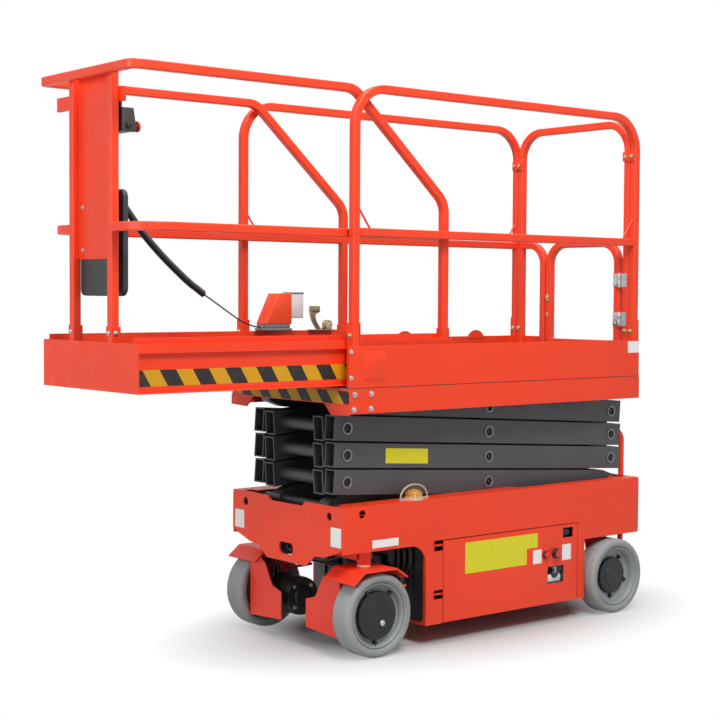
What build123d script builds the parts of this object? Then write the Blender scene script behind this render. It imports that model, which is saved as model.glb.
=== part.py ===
"""Self-propelled scissor lift with a slide-out deck, stowed, deck extended.

Millimetres. +X points to the steered end, +Y to the machine's left, +Z up. The origin is on the
ground, midway between the axles and between the sides. One STEP file per piece goes to parts/.
"""
import os
from math import asin, atan2, cos, degrees, radians, sin, sqrt

from build123d import *

# ------------------------------------------------------------------ driving dimensions
WHEELBASE = 1338.0
TYRE_RADIUS = 160.0
TYRE_WIDTH = 100.0
TYRE_BORE = 126.0
WHEEL_OUTER_Y = 400.0          # outer face of every wheel
HUB_RADIUS = 96.0

CHASSIS_HALF_WIDTH = 360.0
CHASSIS_FRONT_X = 817.0
CHASSIS_REAR_X = -843.0
CHASSIS_TOP_Z = 575.0
CHASSIS_PLATE = 8.0
CHASSIS_NOSE_Z = 400.0         # underside of the nose over the steered wheels
CHASSIS_TAIL_Z = 333.0         # underside of the tail over the rear wheels
SKIRT_FRONT_X = 405.0
SKIRT_REAR_X = -500.0
SKIRT_BOTTOM_Z = 80.0
ARCH_RADIUS = 75.0
PAN_HALF_WIDTH = 325.0
SHAFT_NOTCH_HALF = 110.0       # notch in the top of the nose plate, over the roller shaft
SHAFT_NOTCH_Z = 557.0
NOSE_SLOT = (92.0, 47.0, 18.0)  # width, height and corner radius of the nose slot
NOSE_SLOT_Z = 380.0
TIE_DOWN_RADIUS = 16.0
TIE_DOWN_SIDE_X = 726.0
TIE_DOWN_SIDE_Z = 546.0
TIE_DOWN_FRONT_Y = 272.5
TIE_DOWN_FRONT_Z = 535.0
BEACON_X = 437.0
BEACON_Y = 322.0
BEACON_LENS_RADIUS = 35.0
BEACON_LENS_RISE = 20.0        # height of the rounded top
BEACON_BASE_RADIUS = 38.0
BEACON_BASE_HEIGHT = 12.0
BEACON_HOOP = (70.0, 50.0)     # half length and height of the guard hoop
BEACON_WIRE = 5.0

DOOR_FRONT_X = 312.0
DOOR_REAR_X = -455.0
DOOR_TOP_Z = 406.0
DOOR_GAP = 4.0
DOOR_PLATE = 6.0
HINGE_NOTCHES = ((177.0, 214.0), (367.0, 410.0))   # bottom and top of each notch
HINGE_NOTCH_X = 367.0
HINGE_AXIS_X = 350.0
HINGE_AXIS_Y = 342.0
HINGE_PIN_RADIUS = 4.0
HINGE_ARM_HEIGHT = 8.0
LATCH_SLOT = ((-429.0, -367.0), (351.0, 393.0))    # X and Z limits
CHARGER_X = (-371.0, -275.0)
CHARGER_Z = (166.0, 238.0)
CHARGER_DEPTH = 24.0

ARM_PIN_SPAN = 1495.5          # pin to pin along one arm
ARM_STACK_PITCH = 103.0        # rise of each level when stowed
ARM_HEIGHT = 95.0
ARM_WIDTH = 60.0
ARM_WALL = 5.0
ARM_LEVELS = 4
ARM_TAIL = 60.0                # tube beyond an end pin
ARM_EYE_RADIUS = 34.0          # rounded eye at the ends pinned or rolled under a deck
ARM_NECK = 50.0                # taper from the tube to that eye
OUTER_ARM_Y = 260.0            # outer face of the outer arms
INNER_ARM_Y = 188.0            # outer face of the inner arms
LOW_PIN_X = -770.0             # fixed rear pins, low and high
LOW_PIN_Z = 553.5
PIN_RADIUS = 15.0
PIN_PLAY = 0.05                # radial room of every pin and shaft
ROLLER_WALL = 2.0
BUSH_RADIUS = 24.0
CROSS_TUBE_RADIUS = 25.0

TRACK_WEB_Y = 300.0
TRACK_REAR_X = -150.0
TRACK_FRONT_X = 762.0
ROLLER_PLAY = 0.5

RAM_BASE_ON_ARM = 680.0        # from the centre pin of level 1, towards the rear
RAM_HEAD_ON_ARM = 460.0        # from the centre pin of level 3, towards the front
RAM_BARREL_RADIUS = 36.0
RAM_ROD_RADIUS = 22.0
RAM_PIN_RADIUS = 18.0
RAM_PLAY = 0.4                 # radial room round the rod and the cross tubes
RAM_DROP = 42.0                # the cylinder lies this far under the line of its pins
RAM_OVERRUN = 120.0            # rod length left outside the barrel when closed
RAM_ROD_START = 340.0          # tail of the rod inside the barrel, from the base eye

PLATFORM_FRONT_X = 809.0
PLATFORM_REAR_X = -814.0
PLATFORM_HALF_WIDTH = 378.0    # outer face of the toe boards
PLATFORM_SKIRT_Z = 926.0
DECK_Z = 1024.0                # walking surface of the main deck
DECK_PLATE = 4.0
REAR_PLATE = 4.0
TOE_TOP_Z = 1180.0
SHEET = 3.0

RAIL = 32.0                    # square tube of every guard rail
RAIL_WALL = 2.0
RAIL_BEND = 140.0
RAIL_TOP_Z = 2153.0
MID_RAIL_TOP_Z = 1618.0
REAR_RAIL_TOP_Z = 2137.0
SOCKET_TOP_Z = 1265.0
SOCKET_WALL = 3.0
SOCKET_PLAY = 0.3

GATE_POST_Y = (-123.0, 289.0)  # inner face of the right post, outer face of the hinged one
GATE_GAP = 6.0                 # between the gate and the fixed post
GATE_HINGE_Y = 297.0
GATE_HINGES_Z = (1268.0, 1438.0)
GATE_LEAF_HALF = 30.0
GATE_PIN_RADIUS = 4.5

EXTENSION_FRONT_X = 1682.0
EXTENSION_REAR_X = 250.0
EXTENSION_SIDE_ROOM = 5.7      # to the post sockets of the main deck
EXTENSION_BOTTOM_Z = 1030.0
EXTENSION_TOP_Z = 1200.0
EXTENSION_TOE_Z = 1220.0
EXTENSION_RAIL_TOP_Z = 2153.0
EXTENSION_HOOP_FORWARD = 30.0  # the top hoop ahead of the front posts
EXTENSION_HOOP_BEND = 28.0
EXTENSION_MID_BEND = 110.0
EXTENSION_POST_X = 287.0
FRONT_POST = 32.0              # square tube of the two front posts
FRONT_POST_Y = 134.0
PANEL_BOTTOM_Z = 1490.0
BRACKET_BAR_Y = (-297.0, 175.0)
BRACKET_BAR_Z = (2030.0, 2080.0)
DECK_BOX_X = (630.0, 762.0)
DECK_BOX_Y = (-294.0, -212.0)
DOCUMENT_Z = (1360.0, 1735.0)
DOCUMENT_HALF = 147.0
DOCUMENT_DEPTH = 46.0
DOCUMENT_WALL = 4.0

STEER_PIN_Y = 300.0
KNUCKLE_TOP_Z = 336.0
STUB_RADIUS = 22.0
KING_PIN_RADIUS = 15.0
STEERING_ARM = 185.0           # tie rod pin behind the king pin
TIE_ROD_Z = 264.0
TIE_PIN_RADIUS = 8.0

SEAT = 0.3                     # room at a seat that carries without touching

os.makedirs("parts", exist_ok=True)


# ------------------------------------------------------------------ helpers
def block(x0, x1, y0, y1, z0, z1):
    """Box between two corners."""
    size = (x1 - x0, y1 - y0, z1 - z0)
    return Pos((x0 + x1) / 2, (y0 + y1) / 2, (z0 + z1) / 2) * Box(*size)


def bar_y(x, z, radius, y0, y1):
    """Round bar along Y."""
    return Pos(x, (y0 + y1) / 2, z) * Rot(90, 0, 0) * Cylinder(radius, y1 - y0)


def bar_z(x, y, radius, z0, z1):
    """Round bar along Z."""
    return Pos(x, y, (z0 + z1) / 2) * Cylinder(radius, z1 - z0)


def bar_x(y, z, radius, x0, x1):
    """Round bar along X."""
    return Pos((x0 + x1) / 2, y, z) * Rot(0, 90, 0) * Cylinder(radius, x1 - x0)


def side_plate(points, y0, y1):
    """Flat plate in the XZ plane with the outline points, from y0 to y1."""
    face = make_face(Polyline([(x, 0, z) for x, z in points], close=True))
    return Pos(0, y0, 0) * extrude(face, y1 - y0, dir=(0, 1, 0))


def front_plate(points, x0, x1):
    """Flat plate in the YZ plane with the outline points, from x0 to x1."""
    face = make_face(Polyline([(0, y, z) for y, z in points], close=True))
    return Pos(x0, 0, 0) * extrude(face, x1 - x0, dir=(1, 0, 0))


def flat_plate(points, z0, z1):
    """Flat plate in the XY plane with the outline points, from z0 to z1."""
    face = make_face(Polyline([(x, y, 0) for x, y in points], close=True))
    return Pos(0, 0, z0) * extrude(face, z1 - z0, dir=(0, 0, 1))


def square_tube(points, radii, size=RAIL, wall=RAIL_WALL):
    """Hollow square tube along straight runs joined by bends."""
    path = Polyline(points) if not radii else FilletPolyline(*points, radius=radii)
    start = Vector(*points[0])
    heading = (Vector(*points[1]) - start).normalized()
    side = Vector(0, 0, 1) if abs(heading.Z) < 0.5 else Vector(0, 1, 0)
    plane = Plane(origin=start, x_dir=side, z_dir=heading)
    corner = size * 0.16
    outer = sweep(plane * RectangleRounded(size, size, corner), path=path)
    inner = sweep(plane * RectangleRounded(size - 2 * wall, size - 2 * wall, corner / 2), path=path)
    return outer - inner


def mirrored(shape):
    """The same piece on the machine's other side."""
    return mirror(shape, about=Plane.XZ)


def both(shape):
    """A piece and its twin on the other side."""
    return shape + mirrored(shape)


def save(node, shape):
    """Write one node as a STEP file."""
    solids = shape.solids()
    whole = solids[0] if len(solids) == 1 else Compound(children=list(solids))
    export_step(whole, f"parts/{node}.step")


# ------------------------------------------------------------------ derived sizes
ROLLER_RADIUS = PIN_RADIUS + ROLLER_WALL
REAR_POST_X = PLATFORM_REAR_X + REAR_PLATE + SEAT + RAIL / 2
SOCKET_INNER_Y = PLATFORM_HALF_WIDTH - SHEET - RAIL - SOCKET_PLAY - 2
REAR_RAIL_Y = SOCKET_INNER_Y - SEAT - RAIL / 2
GATE_HINGE_X = REAR_POST_X + RAIL / 2 + 6
EXTENSION_HALF_WIDTH = SOCKET_INNER_Y - EXTENSION_SIDE_ROOM
EXTENSION_RAIL_Y = EXTENSION_HALF_WIDTH - SHEET - RAIL / 2
EXTENSION_TOE_Y = EXTENSION_RAIL_Y - RAIL / 2 - SEAT
FRONT_POST_X = EXTENSION_FRONT_X - 4 - SEAT - FRONT_POST / 2
EXTENSION_RAIL_X = EXTENSION_FRONT_X - 4 - SEAT - RAIL / 2


# ------------------------------------------------------------------ scissor geometry
STOW_ANGLE = asin(ARM_STACK_PITCH / ARM_PIN_SPAN)
HALF_SPAN = ARM_PIN_SPAN / 2
HIGH_PIN_Z = LOW_PIN_Z + ARM_LEVELS * ARM_STACK_PITCH
FRONT_PIN_X = LOW_PIN_X + ARM_PIN_SPAN * cos(STOW_ANGLE)
CENTRE_PIN_X = LOW_PIN_X + HALF_SPAN * cos(STOW_ANGLE)


def centre_pin_z(level):
    """Height of the centre pin of a level, counted from 1."""
    return LOW_PIN_Z + (level - 0.5) * ARM_STACK_PITCH


def on_arm(level, slope, along):
    """Point on an arm, along it from its centre pin towards the front; slope +1 outer, -1 inner."""
    x = CENTRE_PIN_X + along * cos(STOW_ANGLE)
    z = centre_pin_z(level) + slope * along * sin(STOW_ANGLE)
    return x, z


# ------------------------------------------------------------------ chassis
def chassis_side():
    """Left side plate with the wheel arch, door opening and hinge notches."""
    y0 = CHASSIS_HALF_WIDTH - CHASSIS_PLATE
    y1 = CHASSIS_HALF_WIDTH
    top = CHASSIS_TOP_Z
    arch_x = SKIRT_FRONT_X + ARCH_RADIUS
    plate = block(CHASSIS_REAR_X, CHASSIS_FRONT_X, y0, y1, CHASSIS_NOSE_Z, top)
    plate += block(CHASSIS_REAR_X, SKIRT_REAR_X, y0, y1, CHASSIS_TAIL_Z, CHASSIS_NOSE_Z)
    plate += block(SKIRT_REAR_X, SKIRT_FRONT_X, y0, y1, SKIRT_BOTTOM_Z, CHASSIS_NOSE_Z)
    web = block(SKIRT_FRONT_X, arch_x, y0, y1, CHASSIS_NOSE_Z - ARCH_RADIUS, CHASSIS_NOSE_Z)
    plate += web - bar_y(arch_x, CHASSIS_NOSE_Z - ARCH_RADIUS, ARCH_RADIUS, y0 - 1, y1 + 1)
    opening_bottom = SKIRT_BOTTOM_Z - 1
    plate -= block(DOOR_REAR_X - DOOR_GAP, DOOR_FRONT_X + DOOR_GAP, y0 - 1, y1 + 1,
                   opening_bottom, DOOR_TOP_Z + DOOR_GAP)
    for z0, z1 in HINGE_NOTCHES:
        plate -= block(DOOR_FRONT_X, HINGE_NOTCH_X, y0 - 1, y1 + 1, z0, z1)
    plate -= bar_y(TIE_DOWN_SIDE_X, TIE_DOWN_SIDE_Z, TIE_DOWN_RADIUS, y0 - 1, y1 + 1)
    return plate


def chassis_nose():
    """Front plate with its shaft notch, stepped lower edge and tie-down holes."""
    half = CHASSIS_HALF_WIDTH
    top = CHASSIS_TOP_Z
    right = [(half, 418.0), (320.0, 401.0), (246.0, 377.0), (182.0, 371.0), (127.0, 328.0)]
    outline = [(-half, top), (-SHAFT_NOTCH_HALF - 12, top), (-SHAFT_NOTCH_HALF + 10, SHAFT_NOTCH_Z),
               (SHAFT_NOTCH_HALF - 10, SHAFT_NOTCH_Z), (SHAFT_NOTCH_HALF + 12, top), (half, top)]
    outline += right + [(-y, z) for y, z in reversed(right)]
    x1 = CHASSIS_FRONT_X
    plate = front_plate(outline, x1 - CHASSIS_PLATE, x1)
    for y in (-TIE_DOWN_FRONT_Y, TIE_DOWN_FRONT_Y):
        plate -= bar_x(y, TIE_DOWN_FRONT_Z, TIE_DOWN_RADIUS, x1 - 20, x1 + 1)
    width, height, corner = NOSE_SLOT
    slot = block(x1 - 20, x1 + 1, -width / 2, width / 2, NOSE_SLOT_Z - height / 2, NOSE_SLOT_Z + height / 2)
    return plate - fillet(slot.edges().filter_by(Axis.X), corner)


def chassis_frame():
    """Welded chassis box: sides, nose, tail, pans, cross walls, scissor tracks and pivots."""
    t = CHASSIS_PLATE
    inner_y = CHASSIS_HALF_WIDTH - t
    front_x = CHASSIS_FRONT_X - t
    rear_x = CHASSIS_REAR_X + t
    track_half = ROLLER_RADIUS + ROLLER_PLAY
    frame = both(chassis_side()) + chassis_nose()
    frame += block(CHASSIS_REAR_X, rear_x, -inner_y, inner_y, CHASSIS_TAIL_Z, CHASSIS_TOP_Z)
    frame += block(SKIRT_FRONT_X - t, front_x, -inner_y, inner_y, CHASSIS_NOSE_Z, CHASSIS_NOSE_Z + 6)
    frame += block(rear_x, SKIRT_REAR_X + t, -inner_y, inner_y, CHASSIS_TAIL_Z, CHASSIS_TAIL_Z + 6)
    frame += block(SKIRT_FRONT_X - t, SKIRT_FRONT_X, -inner_y, inner_y, SKIRT_BOTTOM_Z, CHASSIS_NOSE_Z)
    frame += block(SKIRT_REAR_X, SKIRT_REAR_X + t, -inner_y, inner_y, SKIRT_BOTTOM_Z, CHASSIS_TAIL_Z)
    frame += block(SKIRT_REAR_X, SKIRT_FRONT_X, -PAN_HALF_WIDTH, PAN_HALF_WIDTH,
                   SKIRT_BOTTOM_Z, SKIRT_BOTTOM_Z + 6)
    top_z = CHASSIS_TOP_Z
    track = block(rear_x, front_x, TRACK_WEB_Y, inner_y, top_z - 4, top_z)
    track += block(TRACK_REAR_X, front_x, TRACK_WEB_Y, TRACK_WEB_Y + 4, LOW_PIN_Z - track_half - 4, top_z)
    for z0 in (LOW_PIN_Z - track_half - 4, LOW_PIN_Z + track_half):
        track += block(TRACK_REAR_X, TRACK_FRONT_X, OUTER_ARM_Y + 4, TRACK_WEB_Y, z0, z0 + 4)
    eye = PIN_RADIUS + 9
    pivot = side_plate([(LOW_PIN_X - 40, CHASSIS_TAIL_Z + 6), (LOW_PIN_X + 60, CHASSIS_TAIL_Z + 6),
                        (LOW_PIN_X + eye, LOW_PIN_Z), (LOW_PIN_X - eye, LOW_PIN_Z)], 0, 12)
    pivot += bar_y(LOW_PIN_X, LOW_PIN_Z, eye, 0, 12)
    pivot -= bar_y(LOW_PIN_X, LOW_PIN_Z, PIN_RADIUS + PIN_PLAY, -1, 13)
    track += Pos(0, OUTER_ARM_Y + 4, 0) * pivot
    track += Pos(0, INNER_ARM_Y - 4, 0) * pivot
    frame += both(track)
    for z0, z1 in HINGE_NOTCHES:
        bracket = block(HINGE_AXIS_X - 10, SKIRT_FRONT_X, 330, inner_y, z0 - 8, z0 - 3)
        bracket += block(HINGE_AXIS_X - 10, SKIRT_FRONT_X, 330, inner_y, z1 + 3, z1 + 8)
        bracket -= bar_z(HINGE_AXIS_X, HINGE_AXIS_Y, HINGE_PIN_RADIUS + PIN_PLAY, z0 - 20, z1 + 20)
        frame += both(bracket)
    return frame


def side_door():
    """Left door with its two swan-neck hinge arms and latch slot."""
    y1 = CHASSIS_HALF_WIDTH
    y0 = y1 - DOOR_PLATE
    door = block(DOOR_REAR_X, DOOR_FRONT_X, y0, y1, SKIRT_BOTTOM_Z + 2, DOOR_TOP_Z)
    (slot_x0, slot_x1), (slot_z0, slot_z1) = LATCH_SLOT
    door -= block(slot_x0, slot_x1, y0 - 1, y1 + 1, slot_z0, slot_z1)
    for z0, z1 in HINGE_NOTCHES:
        low = (z0 + z1 - HINGE_ARM_HEIGHT) / 2
        high = low + HINGE_ARM_HEIGHT
        x, y = HINGE_AXIS_X, HINGE_AXIS_Y
        arm = flat_plate([(x, y - 7), (x, y + 6), (x - 62, y0 - 1), (x - 62, y0),
                          (x - 110, y0), (x - 110, y0 - 12), (x - 60, y0 - 14)], low, high)
        arm += bar_z(x, y, 8, low, high)
        arm += bar_z(x, y, HINGE_PIN_RADIUS, z0 - 8, z1 + 8)
        door += arm
    return door - block(*CHARGER_X, y0 - 1, y1 + 1, *CHARGER_Z)


def ground_controls():
    """Recessed charger inlet, key switch and stop button on the left door."""
    y = CHASSIS_HALF_WIDTH
    y0 = y - DOOR_PLATE
    (x0, x1), (z0, z1) = CHARGER_X, CHARGER_Z
    floor = y0 - CHARGER_DEPTH + 2
    tray = block(x0, x1, y0 - CHARGER_DEPTH, y, z0, z1)
    tray -= block(x0 + 2, x1 - 2, floor, y + 1, z0 + 2, z1 - 2)
    inlet = bar_y((x0 + x1) / 2 - 7, (z0 + z1) / 2 + 3, 20, floor, floor + 18)
    key = bar_y(-262, 290, 13, y, y + 8) + bar_y(-262, 290, 7, y + 8, y + 12)
    stop = bar_y(-318, 291, 14, y, y + 6) + bar_y(-318, 291, 19, y + 6, y + 20)
    return tray + inlet + key + stop


def battery_pack():
    """Battery pack, one plain block on the pan."""
    return block(-170, 330, -300, 300, SKIRT_BOTTOM_Z + 6, 330)


def rear_ladder():
    """Rear step and grab hoop of bent tube with two rungs."""
    half = 248.0
    x = CHASSIS_REAR_X - 12.3
    top = 772.0
    low = 130.0
    path = FilletPolyline((x, -half, low), (x, -half, top), (x, half, top), (x, half, low), radius=45)
    section = Plane(origin=(x, -half, low), z_dir=(0, 0, 1)) * Circle(12.0)
    hoop = sweep(section, path=path)
    for z in (160.0, 420.0):
        hoop += block(x - 14, x + 10, -half, half, z - 10, z + 10)
    for y in (-half, half):
        for z in (360.0, 540.0):
            hoop += block(x - 4, CHASSIS_REAR_X, y - 15, y + 15, z - 12, z + 12)
    return hoop


def beacon():
    """Amber warning beacon dome on the chassis deck."""
    x, y, r = BEACON_X, BEACON_Y, BEACON_LENS_RADIUS
    rise = BEACON_LENS_RISE
    z = CHASSIS_TOP_Z + BEACON_BASE_HEIGHT
    ball = (r ** 2 + rise ** 2) / (2 * rise)
    cap = Pos(x, y, z + 10 + rise - ball) * Sphere(ball)
    cap -= block(x - ball, x + ball, y - ball, y + ball, z - 2 * ball, z + 10)
    return bar_z(x, y, r, z, z + 10) + cap


def beacon_base():
    """Base ring and wire guard of the beacon."""
    x, y, z = BEACON_X, BEACON_Y, CHASSIS_TOP_Z
    reach, height = BEACON_HOOP
    wire = BEACON_WIRE
    base = bar_z(x, y, BEACON_BASE_RADIUS, z, z + BEACON_BASE_HEIGHT)
    ring = Ellipse(reach, height) - Ellipse(reach - wire, height - wire)
    hoop = Pos(x, y + wire / 2, z + BEACON_BASE_HEIGHT) * extrude(Plane.XZ * ring, wire)
    hoop -= block(x - 2 * reach, x + 2 * reach, y - wire, y + wire, z - 2 * height, z + wire)
    foot = block(x - reach, x + reach, y - wire - 1, y + wire + 1, z, z + wire + 2)
    return base + hoop + foot


# ------------------------------------------------------------------ running gear
FRONT_AXLE_X = WHEELBASE / 2
REAR_AXLE_X = -WHEELBASE / 2
WHEEL_INNER_Y = WHEEL_OUTER_Y - TYRE_WIDTH
AXLE_Z = TYRE_RADIUS
KNUCKLE_PLATE_Y0 = WHEEL_INNER_Y - 17
KNUCKLE_PLATE_Y1 = WHEEL_INNER_Y - 9
TIE_PIN_X = FRONT_AXLE_X - STEERING_ARM
TIE_PIN_Y = STEER_PIN_Y


def tyre(axle_x):
    """Non-marking solid tyre with rounded shoulders, on the left."""
    y0, y1 = WHEEL_INNER_Y, WHEEL_OUTER_Y
    ring = bar_y(axle_x, AXLE_Z, TYRE_RADIUS, y0, y1)
    ring = fillet(ring.edges().filter_by(GeomType.CIRCLE), 14)
    return ring - bar_y(axle_x, AXLE_Z, TYRE_BORE, y0 - 1, y1 + 1)


def rim(axle_x):
    """Dished rim, hub disc and lugs, on the left."""
    y0, y1 = WHEEL_INNER_Y + 8, WHEEL_OUTER_Y - 8
    face = y1 - 26
    r = TYRE_BORE - SEAT
    body = bar_y(axle_x, AXLE_Z, r, y0, y1) - bar_y(axle_x, AXLE_Z, r - 7, y0 - 1, y1 + 1)
    body += bar_y(axle_x, AXLE_Z, r - 6, face - 8, face)
    body += bar_y(axle_x, AXLE_Z, HUB_RADIUS, face, y1 - 10)
    body -= bar_y(axle_x, AXLE_Z, STUB_RADIUS + PIN_PLAY, y0 - 40, face - 3)
    hub = bar_y(axle_x, AXLE_Z, STUB_RADIUS + 14, y0, face - 8)
    hub -= bar_y(axle_x, AXLE_Z, STUB_RADIUS + PIN_PLAY, y0 - 1, face)
    return body + hub


def front_axle():
    """Cross beam under the nose with the two king-pin tubes."""
    z1 = CHASSIS_NOSE_Z
    beam = block(FRONT_AXLE_X - 40, FRONT_AXLE_X + 40, -300, 300, z1 - 38, z1)
    beam -= block(FRONT_AXLE_X - 34, FRONT_AXLE_X + 34, -301, 301, z1 - 32, z1 - 6)
    for y in (-STEER_PIN_Y, STEER_PIN_Y):
        beam += bar_z(FRONT_AXLE_X, y, 27, KNUCKLE_TOP_Z + 8, z1)
        beam -= bar_z(FRONT_AXLE_X, y, KING_PIN_RADIUS + PIN_PLAY, KNUCKLE_TOP_Z, z1 - 3)
    return beam


def rear_axle():
    """Rear axle beam with stub ends and its two hangers."""
    x = REAR_AXLE_X
    end = WHEEL_OUTER_Y - 8 - 26 - 3 - 1
    beam = block(x - 30, x + 30, -WHEEL_INNER_Y + 25, WHEEL_INNER_Y - 25, AXLE_Z - 30, AXLE_Z + 30)
    beam -= block(x - 24, x + 24, -WHEEL_INNER_Y + 24, WHEEL_INNER_Y - 24, AXLE_Z - 24, AXLE_Z + 24)
    for s in (-1, 1):
        y_in, y_out = sorted((s * (WHEEL_INNER_Y - 60), s * (WHEEL_INNER_Y - 25)))
        beam += block(x - 30, x + 30, y_in, y_out, AXLE_Z - 30, AXLE_Z + 30)
        a, b = sorted((s * (WHEEL_INNER_Y - 30), s * end))
        beam += bar_y(x, AXLE_Z, STUB_RADIUS, a, b)
        a, b = sorted((s * (WHEEL_INNER_Y - 37), s * (WHEEL_INNER_Y - 25)))
        beam += side_plate([(x - 30, AXLE_Z), (x + 30, AXLE_Z), (x + 70, CHASSIS_TAIL_Z),
                            (x - 70, CHASSIS_TAIL_Z)], a, b)
    return beam


def knuckle():
    """Left steering knuckle: fender, king pin, side and front plates, stub and steering arm."""
    x, y = FRONT_AXLE_X, STEER_PIN_Y
    top = KNUCKLE_TOP_Z
    a, b = KNUCKLE_PLATE_Y0, KNUCKLE_PLATE_Y1
    out_y = WHEEL_OUTER_Y + 10
    fender = side_plate([(x - 75, top), (x + 85, top), (x + 138, top - 42), (x + 132, top - 47),
                         (x + 82, top - 6), (x - 73, top - 6), (x - 126, top - 42),
                         (x - 131, top - 37)], a - 60, out_y)
    piece = fender
    piece += side_plate([(x - 75, top - 3), (x + 82, top - 3), (x + 111, top - 27), (x + 111, 68),
                         (x + 40, 48), (x - 40, 48), (x - 75, 90)], a, b)
    piece += front_plate([(b, 68), (82, 80), (82, 190), (142, 208), (190, 290), (a - 60, top - 27),
                          (b, top - 27)], x + 105, x + 111)
    piece += bar_y(x, AXLE_Z, STUB_RADIUS, b, WHEEL_OUTER_Y - 8 - 26 - 3 - 1)
    piece += bar_z(x, y, KING_PIN_RADIUS, top - 3, CHASSIS_NOSE_Z - 4)
    piece += bar_z(x, y, 24, top, top + 7.7)
    arm = flat_plate([(x - 60, a + 2), (x - 60, a - 8), (x - 150, a - 8),
                      (TIE_PIN_X - 16, TIE_PIN_Y - 16), (TIE_PIN_X - 16, TIE_PIN_Y + 16),
                      (TIE_PIN_X + 16, TIE_PIN_Y + 16), (x - 150, a + 6)], 236, 246)
    piece += arm + bar_z(TIE_PIN_X, TIE_PIN_Y, TIE_PIN_RADIUS, 240, TIE_ROD_Z + 14)
    return piece


def drive_motor():
    """Left drive motor on the inner side of the knuckle plate."""
    x = FRONT_AXLE_X
    y1 = KNUCKLE_PLATE_Y0 - SEAT
    return bar_y(x, AXLE_Z, 60, y1 - 34, y1) + bar_y(x, AXLE_Z, 75, y1 - 200, y1 - 34)


def tie_rod():
    """Tie rod between the steering arms with an eye on each pin."""
    rod = bar_y(TIE_PIN_X, TIE_ROD_Z, 9, -TIE_PIN_Y + 12, TIE_PIN_Y - 12)
    for y in (-TIE_PIN_Y, TIE_PIN_Y):
        rod += bar_z(TIE_PIN_X, y, 17, TIE_ROD_Z - 12, TIE_ROD_Z + 12)
    for y in (-TIE_PIN_Y, TIE_PIN_Y):
        rod -= bar_z(TIE_PIN_X, y, TIE_PIN_RADIUS + PIN_PLAY, TIE_ROD_Z - 20, TIE_ROD_Z + 20)
    return rod


# ------------------------------------------------------------------ scissor stack
def arm_tube(y0, round_front, round_rear):
    """Hollow arm lying along X about its centre pin, with open or tapered and rounded ends."""
    h = ARM_HEIGHT / 2
    w = ARM_WALL
    y1 = y0 + ARM_WIDTH
    reach = HALF_SPAN + ARM_TAIL
    short = HALF_SPAN - ARM_NECK
    x0 = -short if round_rear else -reach
    x1 = short if round_front else reach
    tube = block(x0, x1, y0, y1, -h, h)
    tube -= block(x0 + (w if round_rear else -1), x1 - (w if round_front else -1),
                  y0 + w, y1 - w, -h + w, h - w)
    for rounded, s in ((round_rear, -1), (round_front, 1)):
        if rounded:
            end, root = s * HALF_SPAN, s * short
            tube += side_plate([(end, -ARM_EYE_RADIUS), (root, -h), (root, h), (end, ARM_EYE_RADIUS)], y0, y1)
            tube += bar_y(end, 0, ARM_EYE_RADIUS, y0, y1)
    return tube


def placed(shape, level, slope):
    """Move an arm from its own axes to its stowed place."""
    turn = -slope * degrees(STOW_ANGLE)
    return Pos(CENTRE_PIN_X, 0, centre_pin_z(level)) * Rot(0, turn, 0) * shape


def outer_arms(level):
    """Outer arm pair of one level with its pins; it rises towards the front."""
    y0 = OUTER_ARM_Y - ARM_WIDTH
    top_level = level == ARM_LEVELS
    first_level = level == 1
    arm = arm_tube(y0, top_level, first_level)
    for x in (-HALF_SPAN, 0.0, HALF_SPAN):
        arm += bar_y(x, 0, BUSH_RADIUS, y0, OUTER_ARM_Y + 2)
        arm -= bar_y(x, 0, PIN_RADIUS, OUTER_ARM_Y - 6, OUTER_ARM_Y + 3)
    inner_end = INNER_ARM_Y - ARM_WIDTH - 2
    arm += bar_y(0, 0, PIN_RADIUS, inner_end, y0 + 10)
    if first_level:
        arm += bar_y(-HALF_SPAN, 0, PIN_RADIUS, INNER_ARM_Y - 4, OUTER_ARM_Y + 16)
    pair = both(arm)
    through_pins = [] if first_level else [-HALF_SPAN]
    through_pins += [] if top_level else [HALF_SPAN]
    for x in through_pins:
        pair += bar_y(x, 0, PIN_RADIUS, -y0 - 10, y0 + 10)
    if top_level:
        pair += bar_y(HALF_SPAN, 0, PIN_RADIUS, -OUTER_ARM_Y - 34, OUTER_ARM_Y + 34)
        for s in (-1, 1):
            a, b = sorted((s * (OUTER_ARM_Y + 8), s * (OUTER_ARM_Y + 34)))
            pair += bar_y(HALF_SPAN, 0, ROLLER_RADIUS, a, b)
    return placed(pair, level, 1)


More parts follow.
